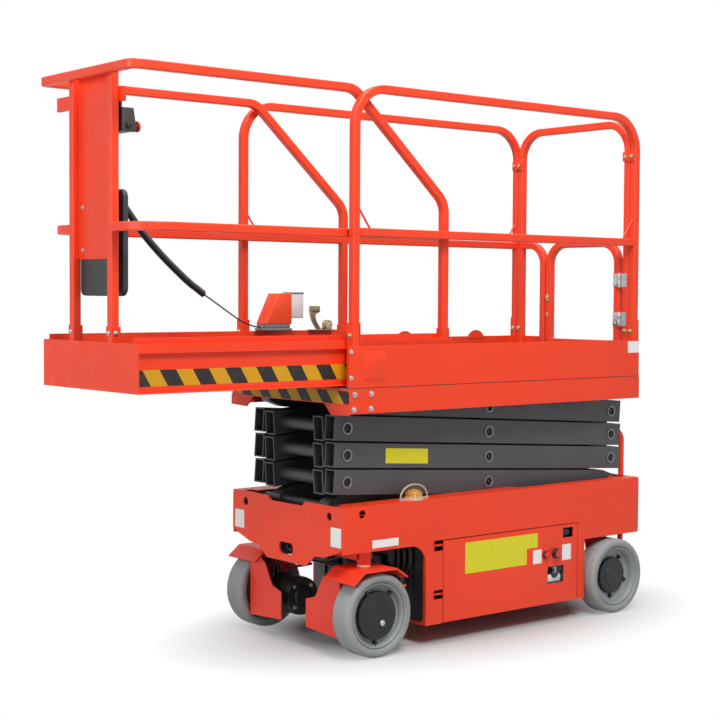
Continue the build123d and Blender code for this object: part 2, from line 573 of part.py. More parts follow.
def inner_arms(level):
    """Inner arm pair of one level, joined by cross tubes; it falls towards the front."""
    y1 = INNER_ARM_Y
    y0 = y1 - ARM_WIDTH
    first_level = level == 1
    top_level = level == ARM_LEVELS
    arm = arm_tube(y0, first_level, top_level)
    for x in (-HALF_SPAN, 0.0, HALF_SPAN):
        arm += bar_y(x, 0, BUSH_RADIUS, y0, y1)
        if not (first_level and x == HALF_SPAN):
            arm -= bar_y(x, 0, PIN_RADIUS + PIN_PLAY, y0 - 1, y1 + 1)
    pair = both(arm)
    crosses = []
    if not first_level:
        crosses.append((HALF_SPAN, CROSS_TUBE_RADIUS, 19))
    if not top_level:
        crosses.append((-HALF_SPAN, CROSS_TUBE_RADIUS, 19))
    if top_level:
        crosses.append((-HALF_SPAN + 160, CROSS_TUBE_RADIUS, 19))
    if level == 1:
        crosses.append((-RAM_BASE_ON_ARM, RAM_PIN_RADIUS, 10))
    if level == 3:
        crosses.append((RAM_HEAD_ON_ARM, RAM_PIN_RADIUS, 10))
    for x, radius, bore in crosses:
        pair += bar_y(x, 0, radius, -y0, y0) - bar_y(x, 0, bore, -y0 - 1, y0 + 1)
    if first_level:
        pair += bar_y(HALF_SPAN, 0, PIN_RADIUS, -OUTER_ARM_Y - 34, OUTER_ARM_Y + 34)
        for s in (-1, 1):
            a, b = sorted((s * (OUTER_ARM_Y + 8), s * (OUTER_ARM_Y + 34)))
            pair += bar_y(HALF_SPAN, 0, ROLLER_RADIUS, a, b)
    return placed(pair, level, -1)


# ------------------------------------------------------------------ lift cylinder
RAM_BASE = on_arm(1, -1, -RAM_BASE_ON_ARM)
RAM_HEAD = on_arm(3, -1, RAM_HEAD_ON_ARM)
RAM_LENGTH = sqrt((RAM_HEAD[0] - RAM_BASE[0]) ** 2 + (RAM_HEAD[1] - RAM_BASE[1]) ** 2)
RAM_ANGLE = atan2(RAM_HEAD[1] - RAM_BASE[1], RAM_HEAD[0] - RAM_BASE[0])


def ram_placed(shape):
    """Move a cylinder piece from its own axes to its stowed place."""
    return Pos(RAM_BASE[0], 0, RAM_BASE[1]) * Rot(0, -degrees(RAM_ANGLE), 0) * shape


def lift_barrel():
    """Lift cylinder barrel with its base eye round the level 1 cross tube."""
    end = RAM_LENGTH - RAM_OVERRUN
    barrel = bar_x(0, -RAM_DROP, RAM_BARREL_RADIUS, 20, end)
    barrel += block(-20, 60, -26, 26, -RAM_DROP, 0)
    barrel += bar_y(0, 0, 32, -26, 26)
    barrel -= bar_y(0, 0, RAM_PIN_RADIUS + RAM_PLAY, -60, 60)
    barrel -= bar_x(0, -RAM_DROP, RAM_ROD_RADIUS + RAM_PLAY, 100, end + 1)
    barrel -= block(-30, 18, -60, 60, -120, -33)
    return barrel


def lift_rod():
    """Chromed rod whose saddle carries the level 3 cross tube."""
    rod = bar_x(0, -RAM_DROP, RAM_ROD_RADIUS, RAM_ROD_START, RAM_LENGTH + 8)
    rod += block(RAM_LENGTH - 26, RAM_LENGTH + 34, -24, 24, -RAM_DROP - 14, -6)
    rod -= bar_y(RAM_LENGTH, 0, RAM_PIN_RADIUS + RAM_PLAY, -60, 60)
    rod -= block(RAM_LENGTH - 60, RAM_LENGTH - 6, -60, 60, -15, 5)
    return rod


# ------------------------------------------------------------------ main platform
def rail_posts():
    """X and Y of the four main corner posts."""
    y = PLATFORM_HALF_WIDTH - SHEET - RAIL / 2
    front = PLATFORM_FRONT_X - 37
    return front, REAR_POST_X, y


def platform_frame():
    """Main deck frame: skirts, toe boards, tracks, pivots, pads, sockets and anchor tabs."""
    front, rear, half = PLATFORM_FRONT_X, PLATFORM_REAR_X, PLATFORM_HALF_WIDTH
    under = DECK_Z - DECK_PLATE
    skirt_z = PLATFORM_SKIRT_Z
    track_half = ROLLER_RADIUS + ROLLER_PLAY
    side = block(rear, front, half - 1, half + 3, skirt_z, under)
    side += block(rear, front, half - 34, half - 1, skirt_z, skirt_z + 4)
    side += block(rear, front, half - SHEET, half, under, TOE_TOP_Z)
    side += block(rear, front, TRACK_WEB_Y, TRACK_WEB_Y + 4, HIGH_PIN_Z - track_half - 4, under)
    for z0 in (HIGH_PIN_Z - track_half - 4, HIGH_PIN_Z + track_half):
        side += block(TRACK_REAR_X, front - 4, OUTER_ARM_Y + 4, TRACK_WEB_Y, z0, z0 + 4)
    for x in (rear + 40, -300.0, 260.0, front - 60):
        side += block(x, x + 6, TRACK_WEB_Y + 4, half - 1, skirt_z + 4, under)
    pivot = side_plate([(rear + REAR_PLATE, HIGH_PIN_Z), (LOW_PIN_X + 36, HIGH_PIN_Z),
                        (LOW_PIN_X + 40, under), (rear + REAR_PLATE, under)], 0, 12)
    pivot += bar_y(LOW_PIN_X, HIGH_PIN_Z, 36, 0, 12)
    inner_end = INNER_ARM_Y - ARM_WIDTH - 18
    side += Pos(0, INNER_ARM_Y + 8, 0) * pivot
    side += Pos(0, inner_end, 0) * pivot
    side += bar_y(LOW_PIN_X, HIGH_PIN_Z, PIN_RADIUS, inner_end, INNER_ARM_Y + 20)
    front_post, rear_post, post_y = rail_posts()
    for x in (front_post, rear_post):
        reach = RAIL / 2 + SOCKET_PLAY
        for x0 in (x - reach - SOCKET_WALL, x + reach):
            if x0 > rear:
                side += block(x0, x0 + SOCKET_WALL, post_y - reach - 2, half - SHEET, DECK_Z, SOCKET_TOP_Z)
        side += block(x - reach, x + reach, post_y - reach - 2, post_y - reach, DECK_Z, SOCKET_TOP_Z)
    frame = both(side)
    for x in (720.0, 300.0, -200.0):
        pad_y = EXTENSION_HALF_WIDTH - 20
        frame += both(block(x, x + 60, pad_y, pad_y + 18, DECK_Z, EXTENSION_BOTTOM_Z - SEAT))
    frame += block(front - 4, front, -half - 3, half + 3, 960, under)
    frame += block(rear, rear + REAR_PLATE, -half - 3, half + 3, skirt_z, under)
    corner = front_plate([(228, 964), (279, 918), (half + 3, 922), (half + 3, 964)], front - 4, front + 4)
    frame += both(corner)
    frame += block(-306, -300, -TRACK_WEB_Y, TRACK_WEB_Y, 990, under)
    frame += block(rear, rear + REAR_PLATE, -half, GATE_POST_Y[0] - RAIL - GATE_GAP, under, TOE_TOP_Z)
    frame += block(rear, rear + REAR_PLATE, GATE_POST_Y[1] + 28, half, under, TOE_TOP_Z)
    for x in (-114.0, -549.0):
        tab = bar_y(x, TOE_TOP_Z - 28, 56, -half, -half + 6) - block(x - 70, x + 70, -400, -300, 1000, 1170)
        frame += tab
    return frame


def platform_floor():
    """Deck plate of the main platform."""
    inner = PLATFORM_HALF_WIDTH - SHEET
    x0, x1 = PLATFORM_REAR_X + REAR_PLATE, PLATFORM_FRONT_X
    return block(x0, x1, -inner, inner, DECK_Z - DECK_PLATE, DECK_Z)


def side_rail():
    """Left guard rail of the main deck with its mid rail and corner braces."""
    front_post, rear_post, y = rail_posts()
    low = DECK_Z + SEAT
    top = RAIL_TOP_Z - RAIL / 2
    mid = MID_RAIL_TOP_Z - RAIL / 2
    rail = square_tube([(front_post, y, low), (front_post, y, top), (rear_post, y, top),
                        (rear_post, y, low)], (RAIL_BEND, RAIL_BEND))
    rail += square_tube([(rear_post + RAIL / 2, y, mid), (front_post - RAIL / 2, y, mid)], None)
    for x, step in ((front_post - RAIL / 2, -60), (rear_post + RAIL / 2, 60)):
        path = Polyline((x - step * 0.06, y, mid + 100), (x + step, y, mid + RAIL / 2 - 4))
        section = Plane(origin=path @ 0, z_dir=path % 0) * Circle(4)
        rail += sweep(section, path=path)
    return rail


def rear_rail():
    """Rear hoop with the fixed lower panel beside the gate, and the clamps on the side rails."""
    x = REAR_POST_X
    low = DECK_Z + SEAT
    top = REAR_RAIL_TOP_Z - RAIL / 2
    y = REAR_RAIL_Y
    mid = MID_RAIL_TOP_Z - RAIL / 2
    rail = square_tube([(x, -y, low), (x, -y, top), (x, y, top), (x, y, low)], (120, 120))
    post = GATE_POST_Y[0] - RAIL - GATE_GAP - RAIL / 2
    rail += square_tube([(x, -y + RAIL / 2, mid), (x, post, mid), (x, post, low)], (90,))
    return rail


def rail_clamps():
    """Bolted clamps that hold the rear hoop to the side rails."""
    x = REAR_POST_X
    clamp = block(x + RAIL / 2 + SEAT, x + RAIL / 2 + 5, 306, 372, 1955, 1995)
    clamp += bar_x(REAR_RAIL_Y, 1975, 8, x + RAIL / 2 + 5, x + RAIL / 2 + 12)
    clamp += bar_x(359, 1975, 8, x + RAIL / 2 + 5, x + RAIL / 2 + 12)
    return both(clamp)


def entry_gate():
    """Entry gate, an arch of tube with a kick plate and hinge leaves, hung on the left."""
    x = REAR_POST_X
    y0 = GATE_POST_Y[0] - RAIL / 2
    y1 = GATE_POST_Y[1] - RAIL / 2
    low = EXTENSION_BOTTOM_Z + 30
    mid = MID_RAIL_TOP_Z - RAIL / 2
    gate = square_tube([(x, y0, low), (x, y0, mid), (x, y1, mid), (x, y1, low)], (90, 90))
    lower = low + 100
    gate += block(x - 2, x + 2, y0 + RAIL / 2, y1 - RAIL / 2, low, lower - 12)
    gate += square_tube([(x, y0 + RAIL / 2, lower), (x, y1 - RAIL / 2, lower)], None, 26)
    for z in GATE_HINGES_Z:
        low_z, split = z - GATE_LEAF_HALF, z - SEAT / 2
        gate += block(x + RAIL / 2, x + RAIL / 2 + 3, y1 - 14, GATE_HINGE_Y - 6, low_z, z + GATE_LEAF_HALF)
        gate += block(x + RAIL / 2, x + RAIL / 2 + 3, y1, GATE_HINGE_Y, low_z, split)
        gate += bar_z(GATE_HINGE_X, GATE_HINGE_Y, GATE_PIN_RADIUS, low_z, split)
    return gate


def gate_hinges():
    """Hinge leaves on the rear hoop."""
    x = REAR_POST_X + RAIL / 2
    y = REAR_RAIL_Y
    leaves = []
    for z in GATE_HINGES_Z:
        high_z, split = z + GATE_LEAF_HALF, z + SEAT / 2
        leaf = block(x + SEAT, x + 3, GATE_HINGE_Y + 7, y + 12, z - GATE_LEAF_HALF, high_z)
        leaf += block(x + SEAT, x + 3, GATE_HINGE_Y, y, split, high_z)
        leaf += bar_z(GATE_HINGE_X, GATE_HINGE_Y, GATE_PIN_RADIUS, split, high_z)
        leaves.append(leaf)
    return leaves[0] + leaves[1]


# ------------------------------------------------------------------ extension deck
def extension_frame():
    """Slide-out deck frame: channel sides, toe plates, front apron and post sockets."""
    front, rear, half = EXTENSION_FRONT_X, EXTENSION_REAR_X, EXTENSION_HALF_WIDTH
    bottom, top = EXTENSION_BOTTOM_Z, EXTENSION_TOP_Z
    ledge = top - 32
    toe_y = EXTENSION_TOE_Y
    side = block(rear, front - 4, half - SHEET, half, ledge, top)
    side += block(rear, front - 4, toe_y - SHEET, half, ledge, ledge + SHEET)
    side += block(rear, front - 4, half - 20, half - 17, bottom, ledge)
    side += block(rear, front - 4, half - 20, half, bottom, bottom + SHEET)
    side += block(rear, front - 4, toe_y - SHEET, toe_y, ledge, EXTENSION_TOE_Z)
    reach = RAIL / 2 + SOCKET_PLAY
    for x0 in (EXTENSION_POST_X - reach - SOCKET_WALL, EXTENSION_POST_X + reach):
        side += block(x0, x0 + SOCKET_WALL, toe_y, half - SHEET, ledge, EXTENSION_TOE_Z + 20)
    frame = both(side)
    frame += block(front - 4, front, -half, half, bottom, top)
    frame += block(rear, rear + REAR_PLATE, -half + 17, half - 17, bottom + SHEET, bottom + 8)
    post_x = FRONT_POST_X
    reach = FRONT_POST / 2 + SOCKET_PLAY
    for y in (-FRONT_POST_Y, FRONT_POST_Y):
        socket = block(post_x - reach - 3, front - 4, y - reach - 3, y + reach + 3, bottom + 8, top + 55)
        socket -= block(post_x - reach, post_x + reach, y - reach, y + reach, bottom + 12, top + 56)
        frame += socket
    return frame


def extension_floor():
    """Deck plate of the extension."""
    half = EXTENSION_HALF_WIDTH - 20
    z0 = EXTENSION_BOTTOM_Z + 4
    return block(EXTENSION_REAR_X + 4, EXTENSION_FRONT_X - 4, -half, half, z0, z0 + 4)


def extension_rails():
    """Guard rails of the extension: front posts, top hoop, mid rails and sloping rear ends."""
    y = EXTENSION_RAIL_Y
    top = EXTENSION_RAIL_TOP_Z - RAIL / 2
    mid = MID_RAIL_TOP_Z - RAIL / 2 - 3
    front = EXTENSION_RAIL_X
    low = EXTENSION_TOP_Z - 32 + SHEET + SEAT
    join_x = 1200.0
    rear = EXTENSION_POST_X
    nose = front + EXTENSION_HOOP_FORWARD
    rails = square_tube([(join_x, -y, top), (nose, -y, top), (nose, y, top), (join_x, y, top)],
                        (EXTENSION_HOOP_BEND, EXTENSION_HOOP_BEND))
    arm = square_tube([(join_x, y, top), (745, y, top), (rear, y, top - 407), (rear, y, low)], (90, 90))
    arm += square_tube([(rear + RAIL / 2, y, mid), (front, y, mid), (front, FRONT_POST_Y + FRONT_POST / 2, mid)],
                       (EXTENSION_MID_BEND,))
    arm += square_tube([(FRONT_POST_X, FRONT_POST_Y, EXTENSION_BOTTOM_Z + 12 + SEAT),
                        (FRONT_POST_X, FRONT_POST_Y, top)], None, FRONT_POST)
    return rails + both(arm)


def front_panel():
    """Sheet panel between the front posts and the bracket bar behind it."""
    front = EXTENSION_RAIL_X
    y = FRONT_POST_Y - FRONT_POST / 2 - SEAT
    top = EXTENSION_RAIL_TOP_Z - 8
    panel = block(front - 10, front - 7, -y, y, PANEL_BOTTOM_Z, top - SEAT)
    for s in (-1, 1):
        a, b = sorted((s * (y - 3), s * y))
        panel += block(front - 10, front + 6, a, b, PANEL_BOTTOM_Z, top - SEAT)
    back = FRONT_POST_X - FRONT_POST / 2 - SEAT
    bar_z0, bar_z1 = BRACKET_BAR_Z
    panel += block(back - 12, back, *BRACKET_BAR_Y, bar_z0, bar_z1)
    panel += block(back - 12, front - 8, -60, 60, bar_z0 + 5, bar_z1 - 5)
    return panel


def control_box():
    """Platform control box with its stop button and drive lever on the bracket bar."""
    back = FRONT_POST_X - FRONT_POST / 2 - SEAT - 12 - SEAT
    box = block(back - 44, back, -60, 150, 1930, 2012)
    box = fillet(box.edges().filter_by(Axis.Y), 8)
    box += block(back - 10, back, -40, 130, 2010, 2080)
    box += bar_x(128, 1948, 13, back - 52, back - 44) + bar_x(128, 1948, 19, back - 70, back - 52)
    box += bar_x(0, 1968, 16, back - 50, back - 44) + bar_x(0, 1968, 7, back - 100, back - 50)
    box += bar_x(0, 1968, 12, back - 118, back - 96)
    box += bar_y(back - 22, 1950, 10, 150, 162)
    return box


def document_box():
    """Manual holder behind the front panel, a moulded box open at the top."""
    x1 = EXTENSION_RAIL_X - 10 - SEAT
    x0 = x1 - DOCUMENT_DEPTH
    y = FRONT_POST_Y - FRONT_POST / 2 - 2
    z0, z1 = DOCUMENT_Z
    box = block(x0, x1, -y, y, z0, z1)
    box = fillet(box.edges().filter_by(Axis.X), 22)
    wide = block(x0, x1 - 8 - RAIL / 2, -DOCUMENT_HALF, DOCUMENT_HALF, z0, z1)
    wide = fillet(wide.edges().filter_by(Axis.X), 30)
    wall = DOCUMENT_WALL
    pocket = block(x0 + wall, x1 - 8 - RAIL / 2 - wall, -DOCUMENT_HALF + 32, DOCUMENT_HALF - 32,
                   z0 + wall, z1 + 1)
    return box + wide - pocket


def deck_box():
    """Socket box on the right toe plate: sloped red hood, pale cover and base."""
    x0, x1 = DECK_BOX_X
    y0, y1 = DECK_BOX_Y
    z = EXTENSION_TOE_Z + 2
    hood = side_plate([(x0, z + 26), (x1 - 2, z + 26), (x1 - 62, z + 152), (x0, z + 152)], y0 + 4, y1 - 4)
    base = block(x0, x1, y0, y1, z, z + 26)
    cover = block(x0 - 66, x0 + 6, y0 + 10, y1 - 10, z + 50, z + 158)
    toe_y = EXTENSION_TOE_Y
    clip = block(x0 + 15, x1 - 15, -toe_y, -toe_y + SHEET * 2 + 2, z - 50, z + 2)
    clip -= block(x0 + 5, x1 - 5, -toe_y - 1, -toe_y + SHEET + SEAT, z - 60, z - 2 + SEAT)
    return hood + base + cover + clip


def lock_pedal():
    """Foot latch of the slide-out deck on the right toe plate: hook, roller and base."""
    toe_y = EXTENSION_TOE_Y
    y0, y1 = -toe_y + SHEET + SEAT, -toe_y + SHEET + 40
    z = EXTENSION_TOE_Z
    base = block(362, 490, y0, y1, z - 20, z + 4)
    hook = side_plate([(434, z + 4), (440, z + 24), (462, z + 44), (468, z + 70), (446, z + 76), (456, z + 102),
                       (496, z + 100), (500, z + 66), (492, z + 40), (474, z + 22), (470, z + 4)],
                      y0 + 6, y1 - 8)
    roller = bar_y(392, z + 24, 21, y0 + 4, y1 - 4)
    return base + hook + roller


# ------------------------------------------------------------------ cord
CURL_RADIUS = 14.0
CABLE_RADIUS = 3.0
HANG_ROUTE = [(1602, 20, 1930), (1600, 20, 1885), (1593, 19, 1838), (1585, 15, 1790),
              (1576, 9, 1745), (1564, 5, 1714), (1549, 3, 1691)]
CURL_ROUTE = [(1549, 3, 1691), (1514, -9, 1658), (1452, -28, 1595), (1394, -47, 1548), (1325, -69, 1497),
              (1254, -92, 1450), (1187, -114, 1408), (1141, -129, 1386), (1105, -141, 1366)]
CABLE_ROUTE = [(1105, -141, 1366), (1066, -153, 1348), (1012, -170, 1322), (952, -190, 1293), (891, -210, 1265),
               (847, -224, 1250), (808, -237, 1241), (782, -246, 1237), (762.3, -252, 1236)]


def bend_radii(route):
    """Largest fair bend radius at each corner of a route."""
    radii = []
    for a, b, c in zip(route, route[1:], route[2:]):
        first = Vector(*b) - Vector(*a)
        second = Vector(*c) - Vector(*b)
        half_turn = radians(first.get_angle(second)) / 2
        radii.append(0.45 * min(first.length, second.length) * cos(half_turn) / sin(half_turn))
    return radii


def cord_tube(name, route, radius):
    """Plain tube along a route, with its radii and volume printed."""
    radii = bend_radii(route)
    path = FilletPolyline(*route, radius=radii)
    section = Plane(origin=path @ 0, z_dir=path % 0) * Circle(radius)
    tube = sweep(section, path=path)
    expected = 3.14159265 * radius ** 2 * path.length
    print(name, "radii", [round(r) for r in radii])
    print(name, "length", round(path.length, 1), "volume ratio", round(tube.volume / expected, 4))
    return tube


# ------------------------------------------------------------------ write the pieces
def main():
    """Build and write every piece."""
    save("chassis_frame", chassis_frame())
    save("left_door", side_door())
    save("right_door", mirrored(side_door()))
    save("ground_controls", ground_controls())
    save("battery_pack", battery_pack())
    save("rear_ladder", rear_ladder())
    save("beacon", beacon())
    save("beacon_base", beacon_base())
    save("front_axle", front_axle())
    save("rear_axle", rear_axle())
    save("left_knuckle", knuckle())
    save("right_knuckle", mirrored(knuckle()))
    save("left_drive_motor", drive_motor())
    save("right_drive_motor", mirrored(drive_motor()))
    save("tie_rod", tie_rod())
    for end, axle_x in (("front", FRONT_AXLE_X), ("rear", REAR_AXLE_X)):
        save(f"{end}_left_tyre", tyre(axle_x))
        save(f"{end}_left_rim", rim(axle_x))
        save(f"{end}_right_tyre", mirrored(tyre(axle_x)))
        save(f"{end}_right_rim", mirrored(rim(axle_x)))
    for level in range(1, ARM_LEVELS + 1):
        save(f"outer_arms_{level}", outer_arms(level))
        save(f"inner_arms_{level}", inner_arms(level))
    save("lift_barrel", ram_placed(lift_barrel()))
    save("lift_rod", ram_placed(lift_rod()))
    save("platform_frame", platform_frame())
    save("platform_floor", platform_floor())
    save("left_side_rail", side_rail())
    save("right_side_rail", mirrored(side_rail()))
    save("rear_rail", rear_rail())
    save("rail_clamps", rail_clamps())
    save("entry_gate", entry_gate())
    save("gate_hinges", gate_hinges())
    save("extension_frame", extension_frame())
    save("extension_floor", extension_floor())
    save("extension_rails", extension_rails())
    save("front_panel", front_panel())
    save("control_box", control_box())
    save("document_box", document_box())
    save("deck_box", deck_box())
    save("lock_pedal", lock_pedal())
    save("control_cable", cord_tube("control_cable", HANG_ROUTE, CABLE_RADIUS))
    save("curly_cord", cord_tube("curly_cord", CURL_ROUTE, CURL_RADIUS))
    save("deck_cable", cord_tube("deck_cable", CABLE_ROUTE, CABLE_RADIUS))


main()
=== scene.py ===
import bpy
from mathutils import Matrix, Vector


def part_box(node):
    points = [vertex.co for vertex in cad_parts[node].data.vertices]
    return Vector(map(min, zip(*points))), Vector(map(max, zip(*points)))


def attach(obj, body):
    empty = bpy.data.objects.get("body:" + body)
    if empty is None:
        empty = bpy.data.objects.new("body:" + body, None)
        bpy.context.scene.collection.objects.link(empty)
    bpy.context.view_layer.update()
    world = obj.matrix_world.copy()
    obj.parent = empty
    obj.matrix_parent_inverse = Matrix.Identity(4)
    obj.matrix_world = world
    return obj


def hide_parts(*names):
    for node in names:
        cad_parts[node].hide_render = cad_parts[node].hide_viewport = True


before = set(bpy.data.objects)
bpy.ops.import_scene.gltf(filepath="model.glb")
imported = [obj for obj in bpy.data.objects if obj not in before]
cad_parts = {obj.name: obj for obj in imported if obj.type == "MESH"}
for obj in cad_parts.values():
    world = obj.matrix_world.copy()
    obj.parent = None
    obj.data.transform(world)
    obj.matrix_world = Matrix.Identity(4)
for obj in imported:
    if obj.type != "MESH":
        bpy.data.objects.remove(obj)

"""Looks of a self-propelled scissor lift with a slide-out deck, built round its fixed frame, in metres."""

import logging
import math
from dataclasses import dataclass, field
from enum import Enum
from typing import Any, Iterable, Sequence

import bmesh
import bpy
from mathutils import Matrix, Vector

LOG = logging.getLogger("scissor_lift")
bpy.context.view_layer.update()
MM = 0.001
Point = tuple[float, float, float]
Span = tuple[float, float]
Outline = Sequence[Span]


class Side(Enum):
    """The machine's two sides, as the sign of Y."""

    LEFT = 1
    RIGHT = -1

    @property
    def word(self) -> str:
        """Name of the side in node names."""
        return self.name.lower()


class Axis(Enum):
    """World axes as unit vectors."""

    X = (1.0, 0.0, 0.0)
    Y = (0.0, 1.0, 0.0)
    Z = (0.0, 0.0, 1.0)


# ---------------------------------------------------------------- finishes
def srgb(code: str, share: float = 1.0) -> tuple[float, float, float, float]:
    """Turn a hex colour into linear light.

    Args:
        code: Six hex digits, red, green and blue.
        share: Part of that light that is kept.

    Returns:
        Linear red, green, blue and an alpha of 1.
    """
    parts = [int(code[i:i + 2], 16) / 255 for i in (0, 2, 4)]
    linear = [c / 12.92 if c <= 0.04045 else ((c + 0.055) / 1.055) ** 2.4 for c in parts]
    return linear[0] * share, linear[1] * share, linear[2] * share, 1.0


class Graph:
    """Shader nodes of one material or world."""

    def __init__(self, owner: bpy.types.Material | bpy.types.World) -> None:
        """Start an empty node tree.

        Args:
            owner: Material or world that the nodes are for.
        """
        owner.use_nodes = True
        self.tree = owner.node_tree
        self.tree.nodes.clear()

    def node(self, kind: str, inputs: dict[Any, Any] | None = None, **settings: Any) -> bpy.types.Node:
        """Add a node with its settings, values and links.

        Args:
            kind: Blender's name of the node type.
            inputs: Value or source socket of each input, by name or number.
            settings: Attributes of the node.

        Returns:
            The new node.
        """
        made = self.tree.nodes.new(kind)
        for key, value in settings.items():
            setattr(made, key, value)
        self.feed(made, inputs or {})
        return made

    def feed(self, made: bpy.types.Node, inputs: dict[Any, Any]) -> None:
        """Set or link inputs of a node.

        Args:
            made: The node.
            inputs: Value or source socket of each input, by name or number.
        """
        for key, value in inputs.items():
            if isinstance(value, bpy.types.NodeSocket):
                self.tree.links.new(value, made.inputs[key])
            else:
                made.inputs[key].default_value = value


class Surface(Graph):
    """Material in the making, with its shader and the patterns that the finishes share."""

    def __init__(self, name: str) -> None:
        """Start a material.

        Args:
            name: Name of the material.
        """
        self.material = bpy.data.materials.new(name)
        super().__init__(self.material)
        self.shader = self.node("ShaderNodeBsdfPrincipled")
        self.output = self.node("ShaderNodeOutputMaterial", {"Surface": self.shader.outputs["BSDF"]})

    def finished(self, **sources: Any) -> bpy.types.Material:
        """Set or link inputs of the shader and return the material.

        Args:
            sources: Value or source socket of each input; underscores stand for spaces.

        Returns:
            The material.
        """
        self.feed(self.shader, {key.replace("_", " "): value for key, value in sources.items()})
        return self.material

    def layered(self, base: Any, *layers: tuple[Any, Any]) -> bpy.types.NodeSocket:
        """Build a colour up from a base coat and the layers over it.

        Args:
            base: Colour of the base coat.
            layers: Share and colour of each layer, from the lowest up.

        Returns:
            The colour socket.
        """
        colour = base
        for share, over in layers:
            mix = self.node("ShaderNodeMix", {0: share, 6: colour, 7: over}, data_type="RGBA")
            colour = mix.outputs[2]
        return colour

    def cloud(self, size_mm: float, detail: float = 3.0, stretch: Point = (1, 1, 1)) -> bpy.types.NodeSocket:
        """Make a cloudy pattern whose patches have about a given size.

        Args:
            size_mm: Patch size in millimetres.
            detail: Octaves of finer detail.
            stretch: Extra scale along each axis.

        Returns:
            The value socket.
        """
        place = self.node("ShaderNodeTexCoord").outputs["Object"]
        mapped = self.node("ShaderNodeMapping", {"Vector": place, "Scale": stretch})
        return self.node("ShaderNodeTexNoise", {"Vector": mapped.outputs[0], "Scale": 1000.0 / size_mm,
                                                "Detail": detail}).outputs["Fac"]

    def mottle(self, size_mm: float, detail: float, spread: Span, result: Span = (0.0, 1.0),
               stretch: Point = (1, 1, 1)) -> bpy.types.NodeSocket:
        """Make a cloudy pattern that runs from one value to another.

        Args:
            size_mm: Patch size in millimetres.
            detail: Octaves of finer detail.
            spread: Cloud values at which the result starts and ends.
            result: Values there, held beyond.
            stretch: Extra scale along each axis.

        Returns:
            The value socket.
        """
        return self.node("ShaderNodeMapRange", {
            "Value": self.cloud(size_mm, detail, stretch), "From Min": spread[0], "From Max": spread[1],
            "To Min": result[0], "To Max": result[1]}).outputs["Result"]

    def edges(self, radius_mm: float, most: float = 1.0) -> bpy.types.NodeSocket:
        """Mask sharp edges.

        Args:
            radius_mm: Reach of the mask on each side of an edge.
            most: Value on the edge; flats have 0.

        Returns:
            The value socket.
        """
        flat = self.node("ShaderNodeNewGeometry").outputs["Normal"]
        eased = self.node("ShaderNodeBevel", {"Radius": radius_mm * MM}, samples=4)
        turn = self.node("ShaderNodeVectorMath", {0: eased.outputs["Normal"], 1: flat},
                         operation="DOT_PRODUCT")
        return self.node("ShaderNodeMapRange", {"Value": turn.outputs["Value"], "From Min": 0.985,
                                                "From Max": 0.80, "To Max": most}).outputs["Result"]


@dataclass(frozen=True)
class PowderCoat:
    """Polyester powder coat baked on steel: even satin film with a faint orange peel, and lighter edges that
    are partly wear and partly a painted highlight.
    """

    name: str
    colour: str
    edge_wear_and_highlight_colour: str
    roughness: float = 0.42
    peel_mm: float = 3.5       # real peel is 1 to 2 mm and would not show
    dust: float = 0.06
    dust_colour: str = "8A5A48"
    ease_mm: float = 1.6

    def make(self) -> bpy.types.Material:
        """Build the material."""
        skin = Surface(self.name)
        patchy = skin.mottle(35.0, 3.0, (0.3, 0.6), (0.35, 0.8))
        # Lighter patchy edges: partly edge wear, partly a painted highlight along the edges.
        worn = skin.node("ShaderNodeMath", {0: skin.edges(self.ease_mm), 1: patchy}, operation="MULTIPLY")
        grime = skin.mottle(90.0, 6.0, (0.52, 0.80), (0.0, self.dust))
        colour = skin.layered(srgb(self.colour, 0.94),
                              (skin.mottle(240.0, 4.0, (0.35, 0.65)), srgb(self.colour)),
                              (worn.outputs[0], srgb(self.edge_wear_and_highlight_colour)),
                              (grime, srgb(self.dust_colour)))
        rough = skin.mottle(60.0, 3.0, (0.3, 0.7), (self.roughness - 0.06, self.roughness + 0.08))
        eased = skin.node("ShaderNodeBevel", {"Radius": self.ease_mm * MM}, samples=4)
        bump = skin.node("ShaderNodeBump", {"Height": skin.cloud(self.peel_mm, 1.0), "Strength": 0.10,
                                            "Distance": 0.4 * MM, "Normal": eased.outputs["Normal"]})
        return skin.finished(Base_Color=colour, Roughness=rough, Normal=bump.outputs[0], IOR=1.5)


